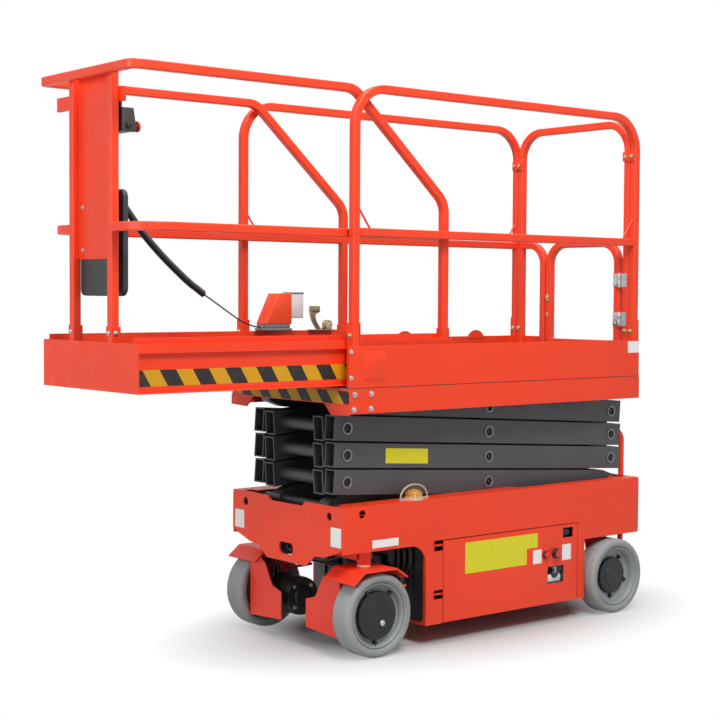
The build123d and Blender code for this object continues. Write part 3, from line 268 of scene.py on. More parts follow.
@dataclass(frozen=True)
class TreadPlate:
    """Rolled steel chequer plate, painted dark: raised lozenges rubbed bare by boots."""

    name: str = "tread plate"
    pitch_mm: float = 26.0
    lozenge: Span = (1.55, 4.6)    # how many times its length and its width go into half a pitch

    def make(self) -> bpy.types.Material:
        """Build the material."""
        skin = Surface(self.name)
        place = skin.node("ShaderNodeTexCoord").outputs["Object"]
        spot = skin.node("ShaderNodeSeparateXYZ", {0: place})
        known: dict[Any, Any] = {"x": spot.outputs[0], "y": spot.outputs[1]}
        step = 1000.0 / self.pitch_mm
        for result, operation, first, second in (
                ("u", "MULTIPLY", "x", step), ("v", "MULTIPLY", "y", step),
                ("column", "FLOOR", "u", 0.0), ("row", "FLOOR", "v", 0.0), ("tile", "ADD", "column", "row"),
                ("parity", "PINGPONG", "tile", 1.0), ("double", "MULTIPLY", "parity", 2.0),
                ("way", "SUBTRACT", "double", 1.0),
                ("part_u", "FRACT", "u", 0.0), ("part_v", "FRACT", "v", 0.0),
                ("a", "SUBTRACT", "part_u", 0.5), ("b", "SUBTRACT", "part_v", 0.5),
                ("b_way", "MULTIPLY", "b", "way"), ("length", "ADD", "a", "b_way"),
                ("a_way", "MULTIPLY", "a", "way"), ("width", "SUBTRACT", "b", "a_way"),
                ("along", "MULTIPLY", "length", self.lozenge[0]),
                ("across", "MULTIPLY", "width", self.lozenge[1]),
                ("along_2", "POWER", "along", 2.0), ("across_2", "POWER", "across", 2.0),
                ("reach", "ADD", "along_2", "across_2")):
            made = skin.node("ShaderNodeMath", {0: known.get(first, first), 1: known.get(second, second)},
                             operation=operation)
            known[result] = made.outputs[0]
        raised = skin.node("ShaderNodeMapRange", {"Value": known["reach"], "From Min": 1.0,
                                                  "From Max": 0.45}).outputs["Result"]
        rubbed = skin.node("ShaderNodeMath", {0: raised, 1: skin.mottle(60.0, 5.0, (0.35, 0.7), (0.2, 0.8))},
                           operation="MULTIPLY")
        colour = skin.layered(srgb("4E4D4E"), (rubbed.outputs[0], srgb("8C8A88")),
                              (skin.mottle(120.0, 6.0, (0.5, 0.8), (0.0, 0.35)), srgb("6C6259")))
        rough = skin.node("ShaderNodeMapRange", {"Value": raised, "To Min": 0.62, "To Max": 0.38})
        bump = skin.node("ShaderNodeBump", {"Height": raised, "Strength": 0.9, "Distance": 1.4 * MM})
        return skin.finished(Base_Color=colour, Roughness=rough.outputs["Result"], Metallic=0.0,
                             Normal=bump.outputs[0])


@dataclass(frozen=True)
class Rubber:
    """Cured rubber: matt, faintly mottled, scuffed where it rolls."""

    name: str
    colour: str
    scuff: str
    roughness: float = 0.72
    scuff_amount: float = 0.5

    def make(self) -> bpy.types.Material:
        """Build the material."""
        skin = Surface(self.name)
        marks = skin.mottle(18.0, 8.0, (0.48, 0.72), (0.0, self.scuff_amount))
        broad = skin.mottle(140.0, 3.0, (0.35, 0.7), (0.0, 0.35))
        colour = skin.layered(srgb(self.colour), (marks, srgb(self.scuff)), (broad, srgb(self.scuff)))
        eased = skin.node("ShaderNodeBevel", {"Radius": 1.2 * MM}, samples=4)
        bump = skin.node("ShaderNodeBump", {"Height": skin.cloud(2.5, 6.0), "Strength": 0.35,
                                            "Distance": 0.5 * MM, "Normal": eased.outputs["Normal"]})
        return skin.finished(Base_Color=colour, Roughness=self.roughness, Normal=bump.outputs[0])


@dataclass(frozen=True)
class PlatedSteel:
    """Zinc plated or bright steel: pale metal with fine streaks and a soft shine."""

    name: str
    colour: str = "C9CACC"
    roughness: float = 0.34
    streak_mm: float = 1.5

    def make(self) -> bpy.types.Material:
        """Build the material."""
        skin = Surface(self.name)
        cloudy = skin.mottle(12.0, 4.0, (0.3, 0.7))
        colour = skin.layered(srgb(self.colour, 0.72), (cloudy, srgb(self.colour)))
        rough = skin.mottle(self.streak_mm, 2.0, (0.3, 0.7), (self.roughness - 0.08, self.roughness + 0.10),
                            (1.0, 1.0, 0.1))
        eased = skin.node("ShaderNodeBevel", {"Radius": 0.6 * MM}, samples=4)
        return skin.finished(Base_Color=colour, Metallic=1.0, Roughness=rough, Normal=eased.outputs["Normal"])


@dataclass(frozen=True)
class Moulded:
    """Injection moulded ABS or polyethylene with a fine spark-eroded grain; its edges are painted paler as a
    highlight.
    """

    name: str
    colour: str
    roughness: float = 0.5
    grain_mm: float = 1.6      # real grain is 0.2 mm, drawn coarser so that it shows
    grain: float = 0.25

    def make(self) -> bpy.types.Material:
        """Build the material."""
        skin = Surface(self.name)
        base = srgb(self.colour)
        pale = tuple(min(1.0, c * 1.35 + 0.01) for c in base[:3]) + (1.0,)
        # Pale patches are random tone; the pale edges are a painted highlight.
        colour = skin.layered(base, (skin.mottle(70.0, 4.0, (0.4, 0.75), (0.0, 0.5)), pale),
                              (skin.edges(1.2, 0.5), pale))
        eased = skin.node("ShaderNodeBevel", {"Radius": 1.2 * MM}, samples=4)
        bump = skin.node("ShaderNodeBump", {"Height": skin.cloud(self.grain_mm, 2.0), "Strength": self.grain,
                                            "Distance": 0.2 * MM, "Normal": eased.outputs["Normal"]})
        rough = skin.mottle(25.0, 3.0, (0.3, 0.7), (self.roughness - 0.05, self.roughness + 0.07))
        return skin.finished(Base_Color=colour, Normal=bump.outputs[0], Roughness=rough)


@dataclass(frozen=True)
class HazardTape:
    """Printed vinyl safety tape: black bars on yellow, slightly glossy and scuffed."""

    name: str
    across: Axis
    lean: float                # metres that a bar moves along `across` for each metre up
    pitch_mm: float = 133.0
    start_mm: float = 0.0

    def make(self) -> bpy.types.Material:
        """Build the material."""
        skin = Surface(self.name)
        run = Vector(self.across.value) + Vector((0.0, 0.0, self.lean))
        place = skin.node("ShaderNodeTexCoord").outputs["Object"]
        along = skin.node("ShaderNodeVectorMath", {0: place, 1: run}, operation="DOT_PRODUCT")
        value = along.outputs["Value"]
        for operation, number in (("ADD", -self.start_mm * MM), ("MULTIPLY", 1000.0 / self.pitch_mm),
                                  ("FRACT", 0.0), ("LESS_THAN", 0.5)):
            value = skin.node("ShaderNodeMath", {0: value, 1: number}, operation=operation).outputs[0]
        colour = skin.layered(srgb("CE9700"), (value, srgb("0C0A08")),
                              (skin.mottle(30.0, 7.0, (0.5, 0.8), (0.0, 0.14)), srgb("8A6A28")))
        bump = skin.node("ShaderNodeBump", {"Height": skin.cloud(4.0), "Strength": 0.15,
                                            "Distance": 0.1 * MM})
        rough = skin.mottle(40.0, 3.0, (0.3, 0.7), (0.46, 0.6))
        return skin.finished(Base_Color=colour, Roughness=rough, Normal=bump.outputs[0])


@dataclass(frozen=True)
class LabelFilm:
    """Blank printed vinyl label: flat film colour with a slight sheen and rubbed patches."""

    name: str
    colour: str
    rubbed: str

    def make(self) -> bpy.types.Material:
        """Build the material."""
        skin = Surface(self.name)
        colour = skin.layered(srgb(self.colour),
                              (skin.mottle(22.0, 6.0, (0.5, 0.8), (0.0, 0.35)), srgb(self.rubbed)))
        bump = skin.node("ShaderNodeBump", {"Height": skin.cloud(9.0, 2.0), "Strength": 0.12,
                                            "Distance": 0.15 * MM})
        rough = skin.mottle(30.0, 3.0, (0.3, 0.7), (0.30, 0.42))
        return skin.finished(Base_Color=colour, Roughness=rough, Normal=bump.outputs[0])


@dataclass(frozen=True)
class ChromedRod:
    """Hard chromed cylinder rod: bright, with faint lengthwise wipe marks of oil."""

    name: str = "chromed rod"

    def make(self) -> bpy.types.Material:
        """Build the material."""
        skin = Surface(self.name)
        wiped = (0.2, 1.0, 1.0)
        oil = skin.mottle(30.0, 5.0, (0.4, 0.7), stretch=wiped)
        colour = skin.layered(srgb("D9DBDD"), (oil, srgb("A9A7A2")))
        rough = skin.mottle(30.0, 5.0, (0.3, 0.7), (0.08, 0.22), wiped)
        return skin.finished(Base_Color=colour, Metallic=1.0, Roughness=rough)


@dataclass(frozen=True)
class TintedLens:
    """Moulded acrylic lens of a warning beacon: clear amber with inner ribs."""

    name: str = "amber acrylic"
    ribs: float = 1500.0       # radians of the ribs' wave for each metre up

    def make(self) -> bpy.types.Material:
        """Build the material."""
        skin = Surface(self.name)
        place = skin.node("ShaderNodeTexCoord").outputs["Object"]
        value = skin.node("ShaderNodeSeparateXYZ", {0: place}).outputs[2]
        for operation in ("MULTIPLY", "SINE"):
            value = skin.node("ShaderNodeMath", {0: value, 1: self.ribs}, operation=operation).outputs[0]
        bump = skin.node("ShaderNodeBump", {"Height": value, "Strength": 0.5, "Distance": 0.8 * MM})
        colour = skin.layered(srgb("E79A2E"), (skin.mottle(20.0, 3.0, (0.3, 0.7)), srgb("F2B04C")))
        return skin.finished(Base_Color=colour, Roughness=0.12, Transmission_Weight=0.35, IOR=1.49,
                             Normal=bump.outputs[0])


class Palette:
    """Every finish of the machine, made once."""

    def __init__(self) -> None:
        """Build the materials."""
        recipes = {
            # The second colour of each powder coat paints its edges lighter: partly wear, partly a painted
            # highlight.
            "body": PowderCoat("red powder coat", "F23C10", "F6704A", 0.44, 3.5, 0.03),
            "rails": PowderCoat("red powder coat on rails", "F23E16", "F57650", 0.42, 3.0, 0.02),
            "fenders": PowderCoat("red powder coat on fenders", "EC3820", "F06A52", 0.44, 3.5, 0.04),
            "arms": PowderCoat("grey arm enamel", "45464A", "5C5C62", 0.44, 4.0, 0.06, "5A5652"),
            "under": PowderCoat("black chassis enamel", "151517", "303034", 0.40, 3.0, 0.12, "4A4642"),
            "wire": PowderCoat("pale wire coat", "C9B9A4", "DDD2C2", 0.40, 3.0, 0.05, "9A8E80"),
            "rim": PowderCoat("pale wheel enamel", "929898", "A6ABAA", 0.45, 3.0, 0.20, "75716C"),
            "hub": PowderCoat("black hub enamel", "0D0D0F", "2A2A2E", 0.46, 2.5, 0.08, "3E3A38"),
            "tread": TreadPlate(),
            "tyre": Rubber("pale non-marking rubber", "959998", "787C7B", 0.70, 0.35),
            "black_rubber": Rubber("black rubber", "17171A", "3A3938", 0.6, 0.25),
            "zinc": PlatedSteel("zinc plate"),
            "gold": PlatedSteel("yellow chromate", "A8957A", 0.42),
            "pale_gold": PlatedSteel("pale yellow zinc", "CDBE98", 0.36),
            # Dark strip colour for the toe board seams: painted shadow of the overlap, with dirt.
            "seam": Rubber("seam shadow and dirt", "6A2418", "54302A", 0.55, 0.3),
            "bush": PlatedSteel("worn bush steel", "868689", 0.42),
            "black_box": Moulded("black polyethylene", "26282B", 0.50),
            "grey_box": Moulded("grey panel box", "3C3936", 0.45),
            "base_box": Moulded("grey socket base", "7C767A", 0.45),
            "pale_box": Moulded("pale cover", "E2DDE2", 0.45),
            "red_box": Moulded("red box cover", "F04A22", 0.42),
            "knob": Moulded("red knob", "D42018", 0.30, 1.5, 0.05),
            "white_cap": Moulded("pale nylon", "E6DFA8", 0.45),
            "inlet": Moulded("white inlet housing", "E8E8E6", 0.40),
            "cable": Rubber("black cable sheath", "1B1B1D", "343436", 0.5, 0.3),
            "chrome": ChromedRod(),
            "amber": TintedLens(),
            "yellow_label": LabelFilm("yellow label film", "DAD408", "C2BC20"),
            "white_label": LabelFilm("white label film", "EDEEEE", "D4D7D8"),
            "deck_tape": HazardTape("hazard tape on slide deck", Axis.X, -0.60, 134.0, 453.0),
            "nose_tape": HazardTape("hazard tape on front plate", Axis.Y, 0.85, 130.0, 648.0),
        }
        self.made = {key: recipe.make() for key, recipe in recipes.items()}

    def __getitem__(self, key: str) -> bpy.types.Material:
        """Return a finish by its key."""
        return self.made[key]


# ---------------------------------------------------------------- shaping
def rounded_outline(low: Span, high: Span, radius: float, steps: int = 6) -> list[Span]:
    """Outline a rectangle with round corners, counter-clockwise from its lower right corner.

    Args:
        low: Lower left corner.
        high: Upper right corner.
        radius: Radius of the corners.
        steps: Segments across each corner.

    Returns:
        The outline's points.
    """
    made = []
    for turn, cx, cy in ((-90, high[0] - radius, low[1] + radius), (0, high[0] - radius, high[1] - radius),
                         (90, low[0] + radius, high[1] - radius), (180, low[0] + radius, low[1] + radius)):
        for k in range(steps + 1):
            angle = math.radians(turn + 90 * k / steps)
            made.append((cx + radius * math.cos(angle), cy + radius * math.sin(angle)))
    return made


class Shape:
    """A mesh in the making, with the shaping steps that the pieces share."""

    def __init__(self) -> None:
        """Start an empty mesh."""
        self.bm = bmesh.new()

    def ease(self, verts: Iterable[bmesh.types.BMVert], radius: float, steps: int = 2,
             least_turn: float = 0.5) -> None:
        """Round the sharp edges among some vertices.

        Args:
            verts: Vertices of the solid.
            radius: Radius of the rounding.
            steps: Segments across it.
            least_turn: Smallest angle, in radians, of an edge that is rounded.
        """
        if radius <= 0:
            return
        chosen = set(verts)
        edges = {e for v in chosen for e in v.link_edges if e.other_vert(v) in chosen
                 and len(e.link_faces) == 2 and e.calc_face_angle(0.0) > least_turn}
        bmesh.ops.bevel(self.bm, geom=list(edges), offset=radius, offset_type="OFFSET", segments=steps,
                        profile=0.5, affect="EDGES", material=-1, clamp_overlap=True)

    def block(self, low: Point, high: Point, radius: float = 0.0, steps: int = 2) -> None:
        """Add a box with rounded edges.

        Args:
            low: Its lowest corner.
            high: Its highest corner.
            radius: Rounding of the edges.
            steps: Segments across the rounding.
        """
        made = bmesh.ops.create_cube(self.bm, size=1.0)["verts"]
        span = Vector(high) - Vector(low)
        middle = (Vector(high) + Vector(low)) / 2
        bmesh.ops.scale(self.bm, vec=span, verts=made)
        bmesh.ops.translate(self.bm, vec=middle, verts=made)
        self.ease(made, radius, steps)

    def rod(self, start: Point, end: Point, radius: float, end_radius: float | None = None,
            sides: int = 28, edge: float = 0.0) -> None:
        """Add a round bar or cone between two points.

        Args:
            start: Centre of one end.
            end: Centre of the other end.
            radius: Radius at the start.
            end_radius: Radius at the end, if it differs.
            sides: Facets round the bar.
            edge: Rounding of the rims.
        """
        a, b = Vector(start), Vector(end)
        turn = Vector((0, 0, 1)).rotation_difference(b - a).to_matrix().to_4x4()
        place = Matrix.Translation((a + b) / 2) @ turn
        made = bmesh.ops.create_cone(self.bm, cap_ends=True, cap_tris=False, segments=sides, radius1=radius,
                                     radius2=radius if end_radius is None else end_radius,
                                     depth=(b - a).length, matrix=place)["verts"]
        self.ease(made, edge, 2, 0.9 if sides > 8 else 0.5)

    def bolt(self, seat: Point, direction: Point, flats: float, height: float, washer: float = 1.5) -> None:
        """Add a hexagon head on a washer.

        Args:
            seat: Point on the surface under the head.
            direction: Way the head points.
            flats: Width across the flats.
            height: Height of the head.
            washer: Washer radius as a share of half the flats.
        """
        out = Vector(direction).normalized()
        base = Vector(seat)
        face = base + out * flats * 0.12
        if washer > 0:
            self.rod(base, face, flats / 2 * washer, sides=20, edge=flats * 0.03)
        self.rod(face, face + out * height, flats / math.sqrt(3), sides=6, edge=flats * 0.07)

    def plate(self, outline: Sequence[Point], thickness: Point, edge: float = 0.0, steps: int = 2) -> None:
        """Add a flat plate.

        Args:
            outline: Corner points of one face.
            thickness: Way and distance to the other face.
            edge: Rounding of the edges.
            steps: Segments across the rounding.
        """
        verts = [self.bm.verts.new(p) for p in outline]
        face = self.bm.faces.new(verts)
        grown = bmesh.ops.extrude_face_region(self.bm, geom=[face])
        tops = [g for g in grown["geom"] if isinstance(g, bmesh.types.BMVert)]
        bmesh.ops.translate(self.bm, vec=thickness, verts=tops)
        solid = verts + tops
        bmesh.ops.recalc_face_normals(self.bm, faces=list({f for v in solid for f in v.link_faces}))
        self.ease(solid, edge, steps)

    def turned(self, profile: Outline, centre: Point, axis: Point, steps: int = 64) -> None:
        """Add a closed turned solid.

        Args:
            profile: Closed loop of radius and distance along the axis.
            centre: Point on the axis at distance 0.
            axis: Direction of the axis.
            steps: Facets round it.
        """
        way = Vector(axis).normalized()
        lift = Vector((0, 0, 1)) if abs(way.z) < 0.5 else Vector((1, 0, 0))
        arm = way.cross(lift).normalized()
        start = [self.bm.verts.new(Vector(centre) + arm * r + way * d) for r, d in profile]
        edges = [self.bm.edges.new((a, b)) for a, b in zip(start, start[1:] + start[:1])]
        bmesh.ops.spin(self.bm, geom=start + edges, cent=centre, axis=way, dvec=(0, 0, 0),
                       angle=2 * math.pi, steps=steps, use_merge=True, use_duplicate=False)
        self.tidy()

    def tube(self, points: Sequence[Point], radius: float, sides: int = 14, steps: int = 5) -> None:
        """Add a hose that runs smoothly through its points.

        Args:
            points: Centre line.
            radius: Radius of the hose.
            sides: Facets round it.
            steps: Rings between two points.
        """
        knots = [Vector(p) for p in points]
        knots = [knots[0] * 2 - knots[1], *knots, knots[-1] * 2 - knots[-2]]
        line = []
        for a, b, c, d in zip(knots, knots[1:], knots[2:], knots[3:]):
            for k in range(steps):
                t = k / steps
                line.append(((b * 2) + (c - a) * t + (a * 2 - b * 5 + c * 4 - d) * t ** 2
                             + (b * 3 - a - c * 3 + d) * t ** 3) / 2)
        line.append(knots[-2])
        arm = (line[1] - line[0]).orthogonal().normalized()
        places = []
        for i, spot in enumerate(line):
            way = (line[min(i + 1, len(line) - 1)] - line[max(i - 1, 0)]).normalized()
            arm = (arm - way * arm.dot(way)).normalized()
            places.append(Matrix.Translation(spot) @ Matrix((arm.cross(way), arm, way)).transposed().to_4x4())
        ring = bmesh.ops.create_circle(self.bm, cap_ends=True, radius=radius, segments=sides,
                                       matrix=places[0])["verts"]
        solid = list(ring)
        for before, after in zip(places, places[1:]):
            rim = [e for v in ring for e in v.link_edges if e.is_boundary]
            grown = bmesh.ops.extrude_edge_only(self.bm, edges=list(dict.fromkeys(rim)))["geom"]
            ring = [g for g in grown if isinstance(g, bmesh.types.BMVert)]
            bmesh.ops.transform(self.bm, matrix=after @ before.inverted(), verts=ring)
            solid += ring
        rim = [e for v in ring for e in v.link_edges if e.is_boundary]
        bmesh.ops.holes_fill(self.bm, edges=list(dict.fromkeys(rim)), sides=sides)
        bmesh.ops.recalc_face_normals(self.bm, faces=list({f for v in solid for f in v.link_faces}))

    def tidy(self) -> None:
        """Merge doubles and turn every face outwards."""
        bmesh.ops.remove_doubles(self.bm, verts=self.bm.verts, dist=1e-6)
        bmesh.ops.dissolve_degenerate(self.bm, edges=self.bm.edges, dist=1e-7)
        bmesh.ops.recalc_face_normals(self.bm, faces=self.bm.faces)

    def mirrored(self) -> None:
        """Add the twin of everything so far on the machine's other side."""
        bmesh.ops.mirror(self.bm, geom=list(self.bm.verts) + list(self.bm.edges) + list(self.bm.faces),
                         matrix=Matrix.Identity(4), merge_dist=0.0, axis="Y")
        bmesh.ops.recalc_face_normals(self.bm, faces=self.bm.faces)

    def swapped(self) -> None:
        """Move everything so far to the machine's other side."""
        bmesh.ops.scale(self.bm, vec=(1, -1, 1), verts=self.bm.verts)
        bmesh.ops.recalc_face_normals(self.bm, faces=self.bm.faces)

    def emit(self, name: str, finish: bpy.types.Material, body: str, slot: str,
             stands_for: Sequence[str] = (), soft_angle: float = 35.0) -> bpy.types.Object:
        """Turn the mesh into a piece of the machine.

        Args:
            name: Name of the piece.
            finish: Its material.
            body: Body that it rides on.
            slot: Material slot of the record; not used.
            stands_for: Frame nodes that it replaces.
            soft_angle: Angle in degrees under which edges look smooth.

        Returns:
            The new object.
        """
        mesh = bpy.data.meshes.new(name)
        self.bm.to_mesh(mesh)
        self.bm.free()
        mesh.polygons.foreach_set("use_smooth", [True] * len(mesh.polygons))
        mesh.set_sharp_from_angle(angle=math.radians(soft_angle))
        mesh.materials.append(finish)
        made = bpy.data.objects.new(name, mesh)
        bpy.context.scene.collection.objects.link(made)
        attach(made, body)
        if stands_for:
            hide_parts(*stands_for)
        LOG.info("%s: %d faces on %s", name, len(mesh.polygons), body)
        return made


# ---------------------------------------------------------------- frame nodes
@dataclass
class FrameDress:
    """Finishes of the frame's own nodes."""

    palette: Palette
    table: dict[str, tuple[str, ...]] = field(default_factory=lambda: {
        "body": ("chassis_frame", "left_door", "right_door", "platform_frame", "extension_frame",
                 "front_panel"),
        "rails": ("left_side_rail", "right_side_rail", "rear_rail", "extension_rails", "entry_gate",
                  "rear_ladder", "rail_clamps"),
        "fenders": ("left_knuckle", "right_knuckle", "front_axle", "rear_axle"),
        "arms": tuple(f"{kind}_arms_{n}" for kind in ("outer", "inner") for n in (1, 2, 3, 4)),
        "under": ("left_drive_motor", "right_drive_motor", "lift_barrel", "battery_pack", "tie_rod"),
        "wire": ("beacon_base",),
        "tread": ("platform_floor", "extension_floor"),
        "zinc": ("gate_hinges",),
        "chrome": ("lift_rod",),
        "black_box": ("ground_controls",),
    })

    def dress(self) -> None:
        """Give every listed node its finish."""
        for key, nodes in self.table.items():
            for node in nodes:
                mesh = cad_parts[node].data
                mesh.materials.clear()
                mesh.materials.append(self.palette[key])
                LOG.info("%s dressed in %s", node, key)


# ---------------------------------------------------------------- wheels
@dataclass
class Wheel:
    """One wheel with its non-marking tyre, dished rim and hub."""

    palette: Palette
    end: str
    side: Side
    axle_x: float
    radius: float = 0.160
    inner_y: float = 0.300
    outer_y: float = 0.400
    bore: float = 0.126
    shoulder: float = 0.018
    tab_angles: tuple[float, ...] = (62.0, 131.0, -87.0)
    screw_angles: tuple[float, ...] = (20.0, 92.0, 164.0, 236.0, 308.0)
    nut_angles: tuple[float, ...] = (126.0, 198.0, 270.0, 342.0, 54.0)
    plug: Span = (0.037, -125.0)     # radius and angle

    @property
    def name(self) -> str:
        """Name that its nodes and body start with."""
        return f"{self.end}_{self.side.word}"

    def build(self) -> None:
        """Build and dress the wheel."""
        self.tyre()
        self.rim()
        if self.end == "front":
            self.front_hub()
        else:
            self.rear_hub()

    def at(self, shape: Shape, profile: Outline, steps: int = 72) -> None:
        """Turn a profile about the axle.

        Args:
            shape: Shape that it is added to.
            profile: Closed loop of radius and depth behind the tyre's outer face.
            steps: Facets round it.
        """
        shape.turned([(r, self.outer_y - depth) for r, depth in profile], (self.axle_x, 0.0, self.radius),
                     Axis.Y.value, steps)

    def polar(self, radius: float, degrees: float, depth: float) -> Point:
        """Find a place on the left-hand wheel.

        Args:
            radius: Distance from the axle.
            degrees: Angle about the axle.
            depth: Distance behind the tyre's outer face.

        Returns:
            The place.
        """
        turn = math.radians(degrees)
        return (self.axle_x + radius * math.cos(turn), self.outer_y - depth,
                self.radius + radius * math.sin(turn))

    def finish(self, shape: Shape, name: str, key: str, slot: str, stands_for: Sequence[str] = ()) -> None:
        """Put a left-hand shape on this wheel's side and emit it.

        Args:
            shape: The shape.
            name: Name of the piece after the wheel's own.
            key: Its finish.
            slot: Material slot of the record.
            stands_for: Frame nodes that it replaces.
        """
        if self.side is Side.RIGHT:
            shape.swapped()
        shape.emit(f"{self.name}_{name}", self.palette[key], f"{self.name}_wheel", slot, stands_for)

    def tyre(self) -> None:
        """Solid tyre with rounded shoulders, sidewall grooves and a sloping bead lip."""
        shape = Shape()
        b, width, round_off = self.bore, self.outer_y - self.inner_y, self.shoulder
        corner = []
        for i in range(9):
            turn = math.radians(90 * i / 8)
            corner.append((self.radius - round_off + round_off * math.sin(turn),
                           round_off - round_off * math.cos(turn)))
        face = [(b, 0.012), (b + 0.003, 0.0055), (b + 0.0065, 0.0030), (b + 0.0085, 0.0030),
                (b + 0.0095, 0.0008), (b + 0.0150, 0.0002)]
        back = [(r, width - depth) for r, depth in reversed(face + corner)]
        self.at(shape, face + corner + back, 96)
        self.finish(shape, "tyre_look", "tyre", "tyre", [f"{self.name}_tyre"])

    def rim(self) -> None:
        """Pressed rim: outer lip, sloping dish and back tube."""
        shape = Shape()
        b = self.bore - 0.0004
        dish, hub = (0.034, 0.060) if self.end == "front" else (0.046, 0.052)
        back = self.outer_y - self.inner_y - 0.008
        self.at(shape, [
            (b, 0.014), (b - 0.002, 0.0095), (b - 0.006, 0.0095), (b - 0.009, 0.013),
            (b - 0.015, dish - 0.004), (b - 0.021, dish), (hub, dish + 0.002), (hub, dish + 0.010),
            (b - 0.024, dish + 0.008), (b - 0.008, dish + 0.006), (b - 0.006, back), (b, back)])
        self.finish(shape, "rim_look", "rim", "rim_paint", [f"{self.name}_rim"])

    def front_hub(self) -> None:
        """Black drive hub: a plain disc with three tabs, five screws and an oil plug."""
        shape = Shape()
        self.at(shape, [
            (0.0, 0.0135), (0.056, 0.0135), (0.0575, 0.0120), (0.0605, 0.0120), (0.062, 0.0140),
            (0.084, 0.0140), (0.090, 0.0160), (0.0925, 0.0200), (0.0925, 0.0374), (0.0, 0.0374)])
        for angle in self.tab_angles:
            shape.rod(self.polar(0.088, angle, 0.022), self.polar(0.1055, angle, 0.022), 0.0055,
                      sides=8, edge=0.0010)
            shape.rod(self.polar(0.104, angle, 0.040), self.polar(0.104, angle, 0.0155), 0.0062,
                      sides=12, edge=0.0012)
        for angle in self.screw_angles:
            shape.rod(self.polar(0.073, angle, 0.0145), self.polar(0.073, angle, 0.0120), 0.0050,
                      sides=6, edge=0.0006)
        self.finish(shape, "hub_look", "hub", "motor_paint")
        boss = Shape()
        boss.rod(self.polar(*self.plug, 0.0140), self.polar(*self.plug, 0.0090), 0.0125, 0.0105, edge=0.0015)
        boss.rod(self.polar(*self.plug, 0.0092), self.polar(*self.plug, 0.0065), 0.0060, sides=6, edge=0.0005)
        self.finish(boss, "hub_plug", "zinc", "zinc")

    def rear_hub(self) -> None:
        """Black idler hub: a domed cap with five nuts on their bosses."""
        shape = Shape()
        self.at(shape, [
            (0.0, 0.0265), (0.034, 0.0265), (0.036, 0.0245), (0.044, 0.0245), (0.046, 0.0270),
            (0.066, 0.0290), (0.076, 0.0330), (0.079, 0.0400), (0.080, 0.0540), (0.0, 0.0540)])
        for angle in self.nut_angles:
            shape.rod(self.polar(0.090, angle, 0.0500), self.polar(0.090, angle, 0.0440), 0.0105,
                      sides=20, edge=0.0008)
            shape.bolt(self.polar(0.090, angle, 0.0440), Axis.Y.value, 0.013, 0.007, 0.0)
        self.finish(shape, "hub_look", "hub", "motor_paint")


